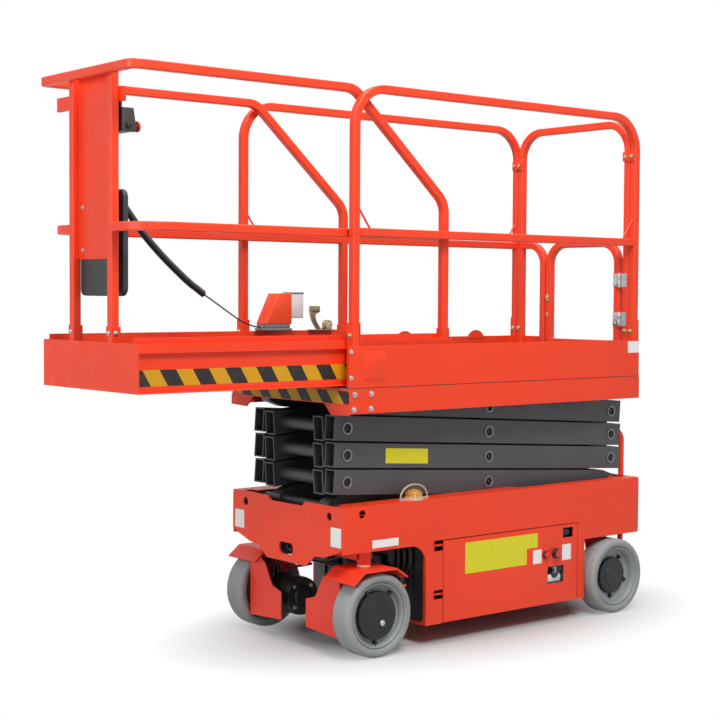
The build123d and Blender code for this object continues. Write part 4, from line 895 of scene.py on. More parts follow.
# ---------------------------------------------------------------- chassis
@dataclass
class Chassis:
    """Fittings on the chassis: labels, knobs, latches, charger inlet, beacon lens and welds."""

    palette: Palette
    face_y: float = 0.360
    nose_x: float = 0.817
    tail_x: float = -0.8425
    film: float = 0.0004
    stop_button: Span = (-0.322, 0.291)
    key_switch: Span = (-0.262, 0.290)
    bead_pitch: float = 0.006

    def build(self) -> None:
        """Build and dress the fittings."""
        self.white_labels()
        for side in Side:
            self.door_label(side)
        self.switches()
        for side in Side:
            self.latch_cup(side)
        self.charger()
        self.beacon()
        self.welds()

    def white_labels(self) -> None:
        """Blank white labels on the nose and the two sides."""
        white = Shape()
        for side in Side:
            a, b = sorted((side.value * 0.283, side.value * 0.346))
            white.block((self.nose_x, a, 0.424), (self.nose_x + self.film, b, 0.497))
            a, b = sorted((side.value * self.face_y, side.value * (self.face_y + self.film)))
            white.block((0.547, a, 0.412), (0.677, b, 0.442))
        white.emit("nose_labels", self.palette["white_label"], "chassis", "frame_paint")

    def door_label(self, side: Side) -> None:
        """Blank yellow label on a door, and the white ones beside the left door's switches.

        Args:
            side: Side of the door.
        """
        face = side.value * self.face_y
        outline = [(0.196, 0.386), (0.196, 0.261), (-0.151, 0.261), (-0.151, 0.326), (-0.214, 0.326),
                   (-0.214, 0.386)]
        yellow = Shape()
        yellow.plate([(x, face, z) for x, z in outline], (0, side.value * self.film, 0))
        yellow.emit(f"{side.word}_door_label", self.palette["yellow_label"], f"{side.word}_door",
                    "door_paint")
        if side is Side.LEFT:
            pale = Shape()
            pale.block((-0.238, face, 0.258), (-0.188, face + self.film, 0.316))
            pale.block((-0.415, face, 0.257), (-0.362, face + self.film, 0.323))
            pale.emit("left_door_white_labels", self.palette["white_label"], "left_door", "door_paint")

    def on_door(self, shape: Shape, profile: Outline, place: Span) -> None:
        """Turn a fitting on the left door.

        Args:
            shape: Shape that it is added to.
            profile: Closed loop of radius and height over the door.
            place: Its centre along the door and up.
        """
        shape.turned([(r, self.face_y + rise) for r, rise in profile], (place[0], 0.0, place[1]),
                     Axis.Y.value, 32)

    def switches(self) -> None:
        """Red stop button and red key switch of the ground controls, with their black rings."""
        knob = Shape()
        self.on_door(knob, [(0.0, 0.022), (0.013, 0.0215), (0.018, 0.018), (0.019, 0.013), (0.017, 0.009),
                            (0.011, 0.007), (0.011, 0.0), (0.0, 0.0)], self.stop_button)
        self.on_door(knob, [(0.0, 0.018), (0.009, 0.0175), (0.0125, 0.015), (0.013, 0.010),
                            (0.011, 0.007), (0.011, 0.0), (0.0, 0.0)], self.key_switch)
        knob.emit("ground_stop_button", self.palette["knob"], "left_door", "red_plastic")
        rings = Shape()
        self.on_door(rings, [(0.012, 0.0002), (0.021, 0.0002), (0.0215, 0.002), (0.020, 0.005),
                             (0.012, 0.006)], self.stop_button)
        self.on_door(rings, [(0.0, 0.006), (0.013, 0.006), (0.016, 0.004), (0.017, 0.0002),
                             (0.0, 0.0002)], self.key_switch)
        rings.emit("ground_switch_rings", self.palette["hub"], "left_door", "dark_plastic")

    def latch_cup(self, side: Side) -> None:
        """Black recessed latch cup with its paddle in the slot of a door.

        Args:
            side: Side of the door.
        """
        (x0, x1), (z0, z1) = (-0.429, -0.367), (0.351, 0.393)
        y, lip = self.face_y, 0.003
        cup = Shape()
        outline = rounded_outline((x0 - 0.004, z0 - 0.004), (x1 + 0.004, z1 + 0.004), 0.010)
        cup.plate([(x, y - 0.028, z) for x, z in outline], (0, 0.004, 0), 0.001)
        for low, high in (((x0 - lip, z0 - lip), (x0, z1 + lip)), ((x1, z0 - lip), (x1 + lip, z1 + lip)),
                          ((x0, z0 - lip), (x1, z0)), ((x0, z1), (x1, z1 + lip))):
            cup.block((low[0], y - 0.026, low[1]), (high[0], y - 0.0065, high[1]), 0.0005)
        paddle = rounded_outline((x0 + 0.008, z0 + 0.007), (x1 - 0.016, z1 - 0.007), 0.011)
        cup.plate([(x, y - 0.025, z) for x, z in paddle], (0, 0.014, 0), 0.003)
        pin_x = x1 - 0.010
        cup.rod((pin_x, y - 0.012, z0 + 0.002), (pin_x, y - 0.012, z1 - 0.002), 0.0032, sides=14,
                edge=0.0005)
        if side is Side.RIGHT:
            cup.swapped()
        cup.emit(f"{side.word}_latch_cup", self.palette["hub"], f"{side.word}_door", "dark_plastic")

    def charger(self) -> None:
        """White charger inlet behind its opening in the left door, with its black socket."""
        y = self.face_y
        inlet = Shape()
        inlet.block((-0.368, y - 0.026, 0.169), (-0.278, y - 0.014, 0.200), 0.002)
        inlet.block((-0.360, y - 0.026, 0.203), (-0.322, y - 0.010, 0.232), 0.003)
        inlet.emit("charger_inlet", self.palette["inlet"], "left_door", "dark_plastic")
        cover = Shape()
        cover.block((-0.371, y - 0.020, 0.206), (-0.340, y - 0.006, 0.237), 0.004)
        cover.rod((-0.356, y - 0.008, 0.222), (-0.356, y - 0.003, 0.222), 0.010, 0.009, edge=0.001)
        cover.emit("charger_socket", self.palette["hub"], "left_door", "dark_plastic")

    def beacon(self) -> None:
        """Amber dome on its stepped foot."""
        low, high = (Vector(corner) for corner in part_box("beacon"))
        centre = (low + high) / 2
        base, r = low.z, (high.x - low.x) / 2
        neck, step = r - 0.0015, base + 0.008
        profile = [(0.0, base), (r, base), (r, base + 0.003), (neck, base + 0.0045), (neck, step)]
        for i in range(1, 8):
            turn = math.radians(90 * i / 8)
            profile.append((neck * math.cos(turn), step + (high.z - step) * math.sin(turn)))
        profile.append((0.0, high.z))
        dome = Shape()
        dome.turned(profile, (centre.x, centre.y, 0.0), Axis.Z.value, 48)
        dome.emit("beacon_lens", self.palette["amber"], "chassis", "amber_lens", ["beacon"])

    def welds(self) -> None:
        """Fillet weld beads where the nose and tail plates meet the sides."""
        bead = Shape()
        for side in Side:
            y = side.value * (self.face_y - 0.0005)
            for x, z0, z1 in ((self.nose_x - 0.0005, 0.42, 0.57), (self.tail_x, 0.345, 0.57)):
                for k in range(int((z1 - z0) / self.bead_pitch)):
                    z = z0 + (k + 0.5) * self.bead_pitch
                    bead.rod((x, y, z - 0.0034), (x, y, z + 0.0034), 0.0021, 0.0016, sides=8)
        bead.emit("corner_welds", self.palette["body"], "chassis", "frame_paint")


# ---------------------------------------------------------------- steering
@dataclass
class SteeredCorner:
    """Details of one steered corner: spacer, bolts, motor fins and hoses."""

    palette: Palette
    side: Side
    axle: Span = (0.669, 0.160)
    pin_y: float = 0.300
    knuckle_top: float = 0.336
    motor_end: float = 0.0827
    port_y: float = 0.228
    fins: int = 8

    def build(self) -> None:
        """Build and dress the corner."""
        self.pin_spacer()
        self.bolts()
        self.motor()

    def pin_spacer(self) -> None:
        """Pale nylon spacer round the king pin."""
        low, high = self.knuckle_top, self.knuckle_top + 0.008
        spacer = Shape()
        spacer.turned([(0.0155, low), (0.025, low), (0.0255, low + 0.0015), (0.0255, high - 0.0015),
                       (0.025, high), (0.0155, high)], (self.axle[0], self.pin_y, 0.0), Axis.Z.value, 32)
        self.finish(spacer, "pin_spacer", "white_cap", "zinc")

    def bolts(self) -> None:
        """Bolts of the knuckle's side plate and of the motor's end cap."""
        x, z = self.axle
        bolts = Shape()
        for dx, dz in ((-0.055, 0.13), (0.062, 0.13), (-0.055, -0.06), (0.062, -0.06)):
            bolts.bolt((x + dx, 0.291, z + dz), Axis.Y.value, 0.015, 0.007)
        for k in range(4):
            turn = math.radians(45 + 90 * k)
            bolts.bolt((x + 0.058 * math.cos(turn), self.motor_end, z + 0.058 * math.sin(turn)), (0, -1, 0),
                       0.012, 0.006)
        self.finish(bolts, "knuckle_bolts", "zinc", "zinc")

    def motor(self) -> None:
        """End cap, cooling fins, ports and hoses of the drive motor."""
        x, z = self.axle
        cap = self.motor_end + 0.0002
        motor = Shape()
        motor.turned([(0.0, cap), (0.044, cap), (0.044, 0.078), (0.038, 0.073), (0.030, 0.071), (0.0, 0.070)],
                     (x, 0.0, z), Axis.Y.value, 40)
        for k in range(self.fins):
            y = 0.098 + 0.0175 * k
            motor.turned([(0.0742, y), (0.0772, y + 0.0005), (0.0772, y + 0.0070), (0.0742, y + 0.0075)],
                         (x, 0.0, z), Axis.Y.value, 56)
        for dx, base in ((0.018, 0.070), (0.042, 0.060)):
            px, py, low = x + dx, self.port_y, z + base
            motor.rod((px, py, low), (px, py, low + 0.022), 0.0105, sides=6, edge=0.001)
            motor.tube([(px, py, low + 0.020), (px, py, low + 0.036), (px + 0.008, py + 0.008, low + 0.056),
                        (px + 0.018, py + 0.022, low + 0.066), (px + 0.028, py + 0.036, low + 0.062)],
                       0.0078)
        self.finish(motor, "motor_details", "hub", "motor_paint")

    def finish(self, shape: Shape, name: str, key: str, slot: str) -> None:
        """Put a left-hand shape on this side and emit it.

        Args:
            shape: The shape.
            name: Name of the piece after its side.
            key: Its finish.
            slot: Material slot of the record.
        """
        if self.side is Side.RIGHT:
            shape.swapped()
        shape.emit(f"{self.side.word}_{name}", self.palette[key], f"{self.side.word}_knuckle", slot)


# ---------------------------------------------------------------- under the nose
@dataclass
class NoseMachinery:
    """Black manifold and hoses behind the nose plate, and a black sheet on the wall behind the steered wheels
    as painted shade.
    """

    palette: Palette
    wall_x: float = 0.405
    beam_x: float = 0.709
    top: float = 0.397
    hose: float = 0.0075

    def build(self) -> None:
        """Build and dress the machinery."""
        self.manifold()
        self.shade_liner()
        self.stops()

    def manifold(self) -> None:
        """Valve manifold on the front of the axle beam with its plugs and hoses."""
        x, top = self.beam_x, self.top
        body = Shape()
        body.block((x, -0.112, top - 0.050), (x + 0.064, 0.112, top), 0.003)
        for y0, y1 in ((-0.090, -0.030), (0.012, 0.084)):
            body.block((x + 0.010, y0, top - 0.047), (x + 0.078, y1, top - 0.006), 0.004)
        for y in (-0.010, 0.000):
            body.rod((x + 0.060, y, top - 0.026), (x + 0.084, y, top - 0.026), 0.0075, sides=6, edge=0.0008)
        for side in Side:
            s = side.value
            body.rod((x + 0.030, s * 0.110, top - 0.024), (x + 0.030, s * 0.128, top - 0.024), 0.011,
                     sides=6, edge=0.001)
            for dx in (0.0, 0.020):
                body.tube([(x + 0.030 + dx, s * 0.120, top - 0.024),
                           (x + 0.032 + dx, s * 0.150, top - 0.022),
                           (x + 0.020 + dx, s * 0.190, top - 0.016),
                           (x + 0.004, s * 0.215, top - 0.012)], self.hose)
        body.emit("steering_manifold", self.palette["under"], "chassis", "motor_paint")

    def shade_liner(self) -> None:
        """Black sheet on the wall behind the steered wheels, painted shade on that shaded wall, with a valve
        block and looped hoses.
        """
        x, top = self.wall_x + 0.0005, self.top
        shade_liner = Shape()
        # Painted shade: this black sheet darkens the shaded wall; the valve block and hoses on it are parts.
        outline = rounded_outline((-0.345, 0.092), (0.345, top), 0.020)
        shade_liner.plate([(x, y, z) for y, z in outline], (0.003, 0, 0), 0.0008)
        for y in (-0.27, -0.18, 0.18, 0.27):
            shade_liner.block((x + 0.002, y - 0.006, 0.110), (x + 0.008, y + 0.006, top - 0.012), 0.002)
        shade_liner.block((x + 0.002, -0.120, 0.150), (x + 0.034, 0.120, 0.330), 0.006)
        for z in (0.19, 0.29):
            for y in (-0.08, 0.0, 0.08):
                shade_liner.rod((x + 0.032, y, z), (x + 0.041, y, z), 0.012, sides=6, edge=0.001)
        for side in Side:
            for reach, low in ((0.135, 0.150), (0.165, 0.130), (0.200, 0.170), (0.235, 0.200)):
                route = ((0.100, low + 0.100), (reach - 0.010, low + 0.060), (reach + 0.030, low + 0.090),
                         (reach + 0.050, 0.320), (reach + 0.045, top))
                shade_liner.tube([(x + 0.014, side.value * y, z) for y, z in route], self.hose)
        shade_liner.emit("arch_shade_liner", self.palette["under"], "chassis", "motor_paint")

    def stops(self) -> None:
        """Rubber end stops behind the tie-down holes of the nose."""
        stop = Shape()
        stop.block((0.786, 0.246, 0.508), (0.802, 0.299, 0.562), 0.004)
        stop.rod((0.780, 0.272, 0.535), (0.787, 0.272, 0.535), 0.014, 0.016, edge=0.002)
        stop.mirrored()
        stop.emit("track_stops", self.palette["black_rubber"], "chassis", "motor_paint")


# ---------------------------------------------------------------- scissor arms
@dataclass
class ArmLevel:
    """Bush rings, pin heads and labels of one level of the scissor stack."""

    palette: Palette
    level: int
    span: float = 1.4955
    pitch: float = 0.103
    low_pin: Span = (-0.770, 0.5535)
    outer_y: float = 0.260
    label_level: int = 2
    label_reach: Span = (0.335, 0.555)
    label_half: float = 0.0295

    def pin(self, along: float) -> Span:
        """Find the place of a pin of the outer arms.

        Args:
            along: Distance along the arm from its middle.

        Returns:
            Its X and Z.
        """
        angle = math.asin(self.pitch / self.span)
        x = self.low_pin[0] + (self.span / 2 + along) * math.cos(angle)
        z = self.low_pin[1] + (self.level - 0.5) * self.pitch + along * math.sin(angle)
        return x, z

    def build(self) -> None:
        """Build and dress the level's fittings."""
        half = self.span / 2
        rings, heads = Shape(), Shape()
        y = self.outer_y
        for along in (-half, 0.0, half):
            x, z = self.pin(along)
            rings.turned([(0.0175, y + 0.0005), (0.0242, y + 0.0005), (0.0246, y + 0.0020),
                          (0.0242, y + 0.0035), (0.0185, y + 0.0035), (0.0175, y + 0.0020)],
                         (x, 0.0, z), Axis.Y.value, 40)
            heads.turned([(0.0, y - 0.0055), (0.0148, y - 0.0055), (0.0148, y - 0.0030), (0.0135, y - 0.0022),
                          (0.0, y - 0.0022)], (x, 0.0, z), Axis.Y.value, 32)
            heads.bolt((x, y - 0.0022, z), Axis.Y.value, 0.012, 0.003, 0.0)
        rings.mirrored()
        heads.mirrored()
        body = f"outer_arms_{self.level}"
        rings.emit(f"bush_rings_{self.level}", self.palette["bush"], body, "zinc")
        heads.emit(f"pin_heads_{self.level}", self.palette["hub"], body, "arm_paint")
        if self.level == self.label_level:
            self.label(body)

    def label(self, body: str) -> None:
        """Blank yellow label on the outer arms, along the arm.

        Args:
            body: Body that it rides on.
        """
        y, half = self.outer_y, self.label_half
        (x0, z0), (x1, z1) = (self.pin(along) for along in self.label_reach)
        film = Shape()
        film.plate([(x0, y, z0 - half), (x1, y, z1 - half), (x1, y, z1 + half), (x0, y, z0 + half)],
                   (0, 0.0004, 0))
        film.mirrored()
        film.emit("arm_labels", self.palette["yellow_label"], body, "arm_paint")


# ---------------------------------------------------------------- platform
@dataclass
class MainDeck:
    """Fittings of the main deck: bolts, rail pins, gate hinges, seam, screwed plate, tape and label."""

    palette: Palette
    skirt_y: float = 0.381
    toe_y: float = 0.378
    front_x: float = 0.809
    rear_x: float = -0.8135
    film: float = 0.0004
    post: float = 0.032
    socket_wall: float = 0.0033
    pin_z: float = 1.217
    rear_post_y: float = 0.3244
    hinge: Span = (-0.7717, 0.297)
    hinge_heights: Span = (1.268, 1.438)

    def build(self) -> None:
        """Build and dress the fittings."""
        self.corner_bolts()
        self.rail_pins()
        self.gate_hinges()
        self.gate_catch()
        self.seam()
        self.screwed_plate()
        self.films()

    def corner_bolts(self) -> None:
        """Bolts through the skirts and the toe boards at the front corners."""
        bolts = Shape()
        for x, z in ((0.784, 0.999), (0.705, 1.000), (0.788, 0.943), (0.706, 0.944)):
            bolts.bolt((x, self.skirt_y, z), Axis.Y.value, 0.015, 0.006)
        for x, z in ((0.800, 1.158), (0.800, 1.062)):
            bolts.bolt((x, self.toe_y, z), Axis.Y.value, 0.012, 0.005)
        bolts.mirrored()
        bolts.emit("deck_corner_bolts", self.palette["zinc"], "platform", "zinc")

    def rail_pins(self) -> None:
        """Pins through the post sockets and clamp nuts on the rear hoop."""
        low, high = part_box("left_side_rail")
        y = (low[1] + high[1]) / 2
        pins = Shape()
        for x in (high[0] + self.socket_wall, low[0] + self.post + self.socket_wall):
            pins.bolt((x, y, self.pin_z), (1, 0, 0), 0.013, 0.006)
            pins.bolt((x - self.post - 2 * self.socket_wall, y, self.pin_z), (-1, 0, 0), 0.013, 0.006, 0.0)
        pins.bolt((-0.7777, self.rear_post_y, self.pin_z), (1, 0, 0), 0.013, 0.006)
        clamp_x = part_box("rail_clamps")[1][0]
        for y in (self.rear_post_y, 0.359):
            pins.rod((clamp_x - 0.0062, y, 1.975), (clamp_x + 0.0006, y, 1.975), 0.0088, sides=6,
                     edge=0.0008)
        pins.mirrored()
        pins.emit("rail_pins", self.palette["pale_gold"], "platform", "zinc")

    def gate_hinges(self) -> None:
        """Rolled hinge barrels, upper halves on the platform and lower halves with leaves on the gate."""
        x, y = self.hinge
        barrels = Shape()
        for z in self.hinge_heights:
            barrels.rod((x, y, z + 0.0005), (x, y, z + 0.0295), 0.0063, sides=24, edge=0.0006)
            barrels.rod((x, y, z + 0.0295), (x, y, z + 0.0325), 0.0042, 0.0034, sides=16, edge=0.0004)
        barrels.emit("hinge_barrels", self.palette["zinc"], "platform", "zinc")
        leaf_x, rivet_y = x - 0.003, 0.272
        leaves = Shape()
        for z in self.hinge_heights:
            leaves.block((leaf_x, 0.260, z - 0.029), (leaf_x + 0.0010, 0.2905, z + 0.029), 0.0004)
            for dz in (-0.018, 0.018):
                leaves.rod((leaf_x + 0.0008, rivet_y, z + dz), (leaf_x + 0.0032, rivet_y, z + dz), 0.0046,
                           0.0030, sides=16, edge=0.0005)
            leaves.rod((x, y, z - 0.0295), (x, y, z - 0.0005), 0.0063, sides=24, edge=0.0006)
            leaves.rod((x, y, z - 0.0325), (x, y, z - 0.0295), 0.0034, 0.0042, sides=16, edge=0.0004)
        leaves.emit("gate_leaves", self.palette["zinc"], "entry_gate", "zinc")

    def gate_catch(self) -> None:
        """Catch plate, its pin and a small plate under it on the gate's free post."""
        back, y = -0.7777, -0.139
        catch = Shape()
        catch.block((back, y - 0.0070, 1.346), (back + 0.0025, y + 0.0070, 1.376), 0.0008)
        catch.rod((back + 0.0022, y, 1.361), (back + 0.0107, y, 1.361), 0.0055, 0.0048, sides=20,
                  edge=0.0010)
        catch.block((back, y - 0.0055, 1.270), (back + 0.0019, y + 0.0055, 1.290), 0.0006)
        catch.emit("gate_catch", self.palette["pale_gold"], "entry_gate", "zinc")

    def seam(self) -> None:
        """Dark strip along the seam between the toe boards and the skirts under them: painted shadow of the
        sheet overlap, with dirt.
        """
        strip = Shape()
        strip.block((self.rear_x, self.toe_y - 0.0005, 1.0202),
                    (self.front_x - 0.0005, self.toe_y + 0.0008, 1.0235), 0.0004)
        strip.mirrored()
        strip.emit("deck_seam_shadow", self.palette["seam"], "platform", "platform_paint")

    def screwed_plate(self) -> None:
        """Cover plate on the left toe board with its four screws."""
        plate = Shape()
        plate.block((0.635, self.toe_y, 1.048), (0.737, self.toe_y + 0.0015, 1.158), 0.0005)
        plate.emit("screwed_plate", self.palette["body"], "platform", "platform_paint")
        screws = Shape()
        for x, z in ((0.7255, 1.145), (0.6465, 1.145), (0.7255, 1.061), (0.6465, 1.061)):
            screws.turned([(0.0, 0.0036), (0.003, 0.0034), (0.005, 0.0022), (0.0052, 0.0015),
                           (0.0, 0.0015)], (x, self.toe_y, z), Axis.Y.value, 20)
        screws.emit("plate_screws", self.palette["body"], "platform", "platform_paint")

    def films(self) -> None:
        """Hazard tape across the front plate and the blank label at the rear corner."""
        tape = Shape()
        tape.block((self.front_x, -0.345, 0.963), (self.front_x + self.film, 0.379, 1.012))
        tape.emit("front_tape", self.palette["nose_tape"], "platform", "platform_paint")
        label = Shape()
        label.block((self.rear_x - 0.001, self.toe_y, 1.124), (-0.741, self.toe_y + self.film, 1.174))
        label.emit("deck_white_label", self.palette["white_label"], "platform", "platform_paint")


@dataclass
class SlideDeck:
    """Fittings of the slide-out deck: tape and the bolts of its posts and panel."""

    palette: Palette
    web_y: float = 0.318
    rear_x: float = 0.250
    front_x: float = 1.682
    post: Span = (1.6617, 0.134)
    socket: float = 0.0193         # half the width of a post socket
    bolt_z: float = 1.232
    panel_x: float = 1.6547

    def build(self) -> None:
        """Build and dress the fittings."""
        tape = Shape()
        tape.block((self.rear_x + 0.004, self.web_y, 1.055),
                   (self.front_x - 0.0042, self.web_y + 0.0004, 1.111))
        tape.mirrored()
        tape.emit("slide_tape", self.palette["deck_tape"], "extension", "platform_paint")
        bolts = Shape()
        x, y = self.post
        for side in Side:
            s = side.value
            bolts.bolt((self.front_x - 0.004, s * y, self.bolt_z), (1, 0, 0), 0.012, 0.005)
            bolts.bolt((x, s * (y + self.socket), self.bolt_z), (0, s, 0), 0.012, 0.005)
        for z in (1.523, 1.674):
            bolts.bolt((self.panel_x, -0.087, z), (1, 0, 0), 0.011, 0.005)
        bolts.emit("slide_bolts", self.palette["zinc"], "extension", "zinc")


# ---------------------------------------------------------------- cord
@dataclass
class SpringCord:
    """Cord from the control box: a hanging lead, a curled stretch and a lead to the deck box."""

    palette: Palette
    radius: float = 0.003
    curl_radius: float = 0.011
    curl_pitch: float = 0.0066
    points_a_turn: int = 12
    hang: tuple[Point, ...] = ((1.602, 0.020, 1.930), (1.600, 0.020, 1.885), (1.593, 0.019, 1.838),
                               (1.585, 0.015, 1.790), (1.576, 0.009, 1.745), (1.564, 0.005, 1.714),
                               (1.549, 0.003, 1.691))
    curl: tuple[Point, ...] = ((1.549, 0.003, 1.691), (1.514, -0.009, 1.658), (1.452, -0.028, 1.595),
                               (1.394, -0.047, 1.548), (1.325, -0.069, 1.497), (1.254, -0.092, 1.450),
                               (1.187, -0.114, 1.408), (1.141, -0.129, 1.386), (1.105, -0.141, 1.366))
    tail: tuple[Point, ...] = ((1.105, -0.141, 1.366), (1.066, -0.153, 1.348), (1.012, -0.170, 1.322),
                               (0.952, -0.190, 1.293), (0.891, -0.210, 1.265), (0.847, -0.224, 1.250),
                               (0.808, -0.237, 1.241), (0.782, -0.246, 1.237), (0.7623, -0.252, 1.236))

    def spline(self, name: str, points: Sequence[Vector | Point]) -> bpy.types.Curve:
        """Make a smooth curve.

        Args:
            name: Name of the curve.
            points: Its control points.

        Returns:
            The curve.
        """
        curve = bpy.data.curves.new(name, "CURVE")
        curve.dimensions = "3D"
        line = curve.splines.new("NURBS")
        line.points.add(len(points) - 1)
        for slot, point in zip(line.points, points):
            slot.co = (*point, 1.0)
        line.order_u = 3
        line.use_endpoint_u = True
        return curve

    def read(self, points: Sequence[Point]) -> list[Vector]:
        """Read the smooth line of a route.

        Args:
            points: Control points of the route.

        Returns:
            Dense points along the line.
        """
        curve = self.spline("route", points)
        curve.resolution_u = 24
        holder = bpy.data.objects.new("route", curve)
        mesh = bpy.data.meshes.new_from_object(holder)
        found = [v.co.copy() for v in mesh.vertices]
        bpy.data.objects.remove(holder)
        bpy.data.curves.remove(curve)
        bpy.data.meshes.remove(mesh)
        return found

    def helix(self) -> list[Vector]:
        """Control points of the curled stretch, wound round its smooth route."""
        line = self.read(self.curl)
        lengths = [0.0]
        for a, b in zip(line, line[1:]):
            lengths.append(lengths[-1] + (b - a).length)
        whole = lengths[-1]
        turns = round(whole / self.curl_pitch)
        steps = turns * self.points_a_turn
        made = []
        normal = (line[1] - line[0]).normalized().orthogonal().normalized()
        index = 0
        for step in range(steps + 1):
            goal = whole * step / steps
            while index < len(line) - 2 and lengths[index + 1] < goal:
                index += 1
            a, b = line[index], line[index + 1]
            share = (goal - lengths[index]) / max(1e-9, lengths[index + 1] - lengths[index])
            heading = (b - a).normalized()
            normal = (normal - heading * normal.dot(heading)).normalized()
            side = heading.cross(normal)
            turn = 2 * math.pi * step / self.points_a_turn
            swell = min(1.0, step / self.points_a_turn, (steps - step) / self.points_a_turn)
            reach = self.curl_radius * swell
            made.append(a.lerp(b, share) + normal * math.cos(turn) * reach + side * math.sin(turn) * reach)
        return made

    def build(self) -> None:
        path = [Vector(p) for p in self.hang[:-1]] + self.helix() + [Vector(p) for p in self.tail[1:]]
        curve = self.spline("spring_cord", path)
        curve.bevel_depth = self.radius
        curve.bevel_resolution = 2
        curve.resolution_u = 2
        curve.use_fill_caps = True
        curve.materials.append(self.palette["cable"])
        cord = bpy.data.objects.new("spring_cord", curve)
        bpy.context.scene.collection.objects.link(cord)
        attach(cord, "extension")
        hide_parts("control_cable", "curly_cord", "deck_cable")
        smooth = self.read([tuple(p) for p in path])


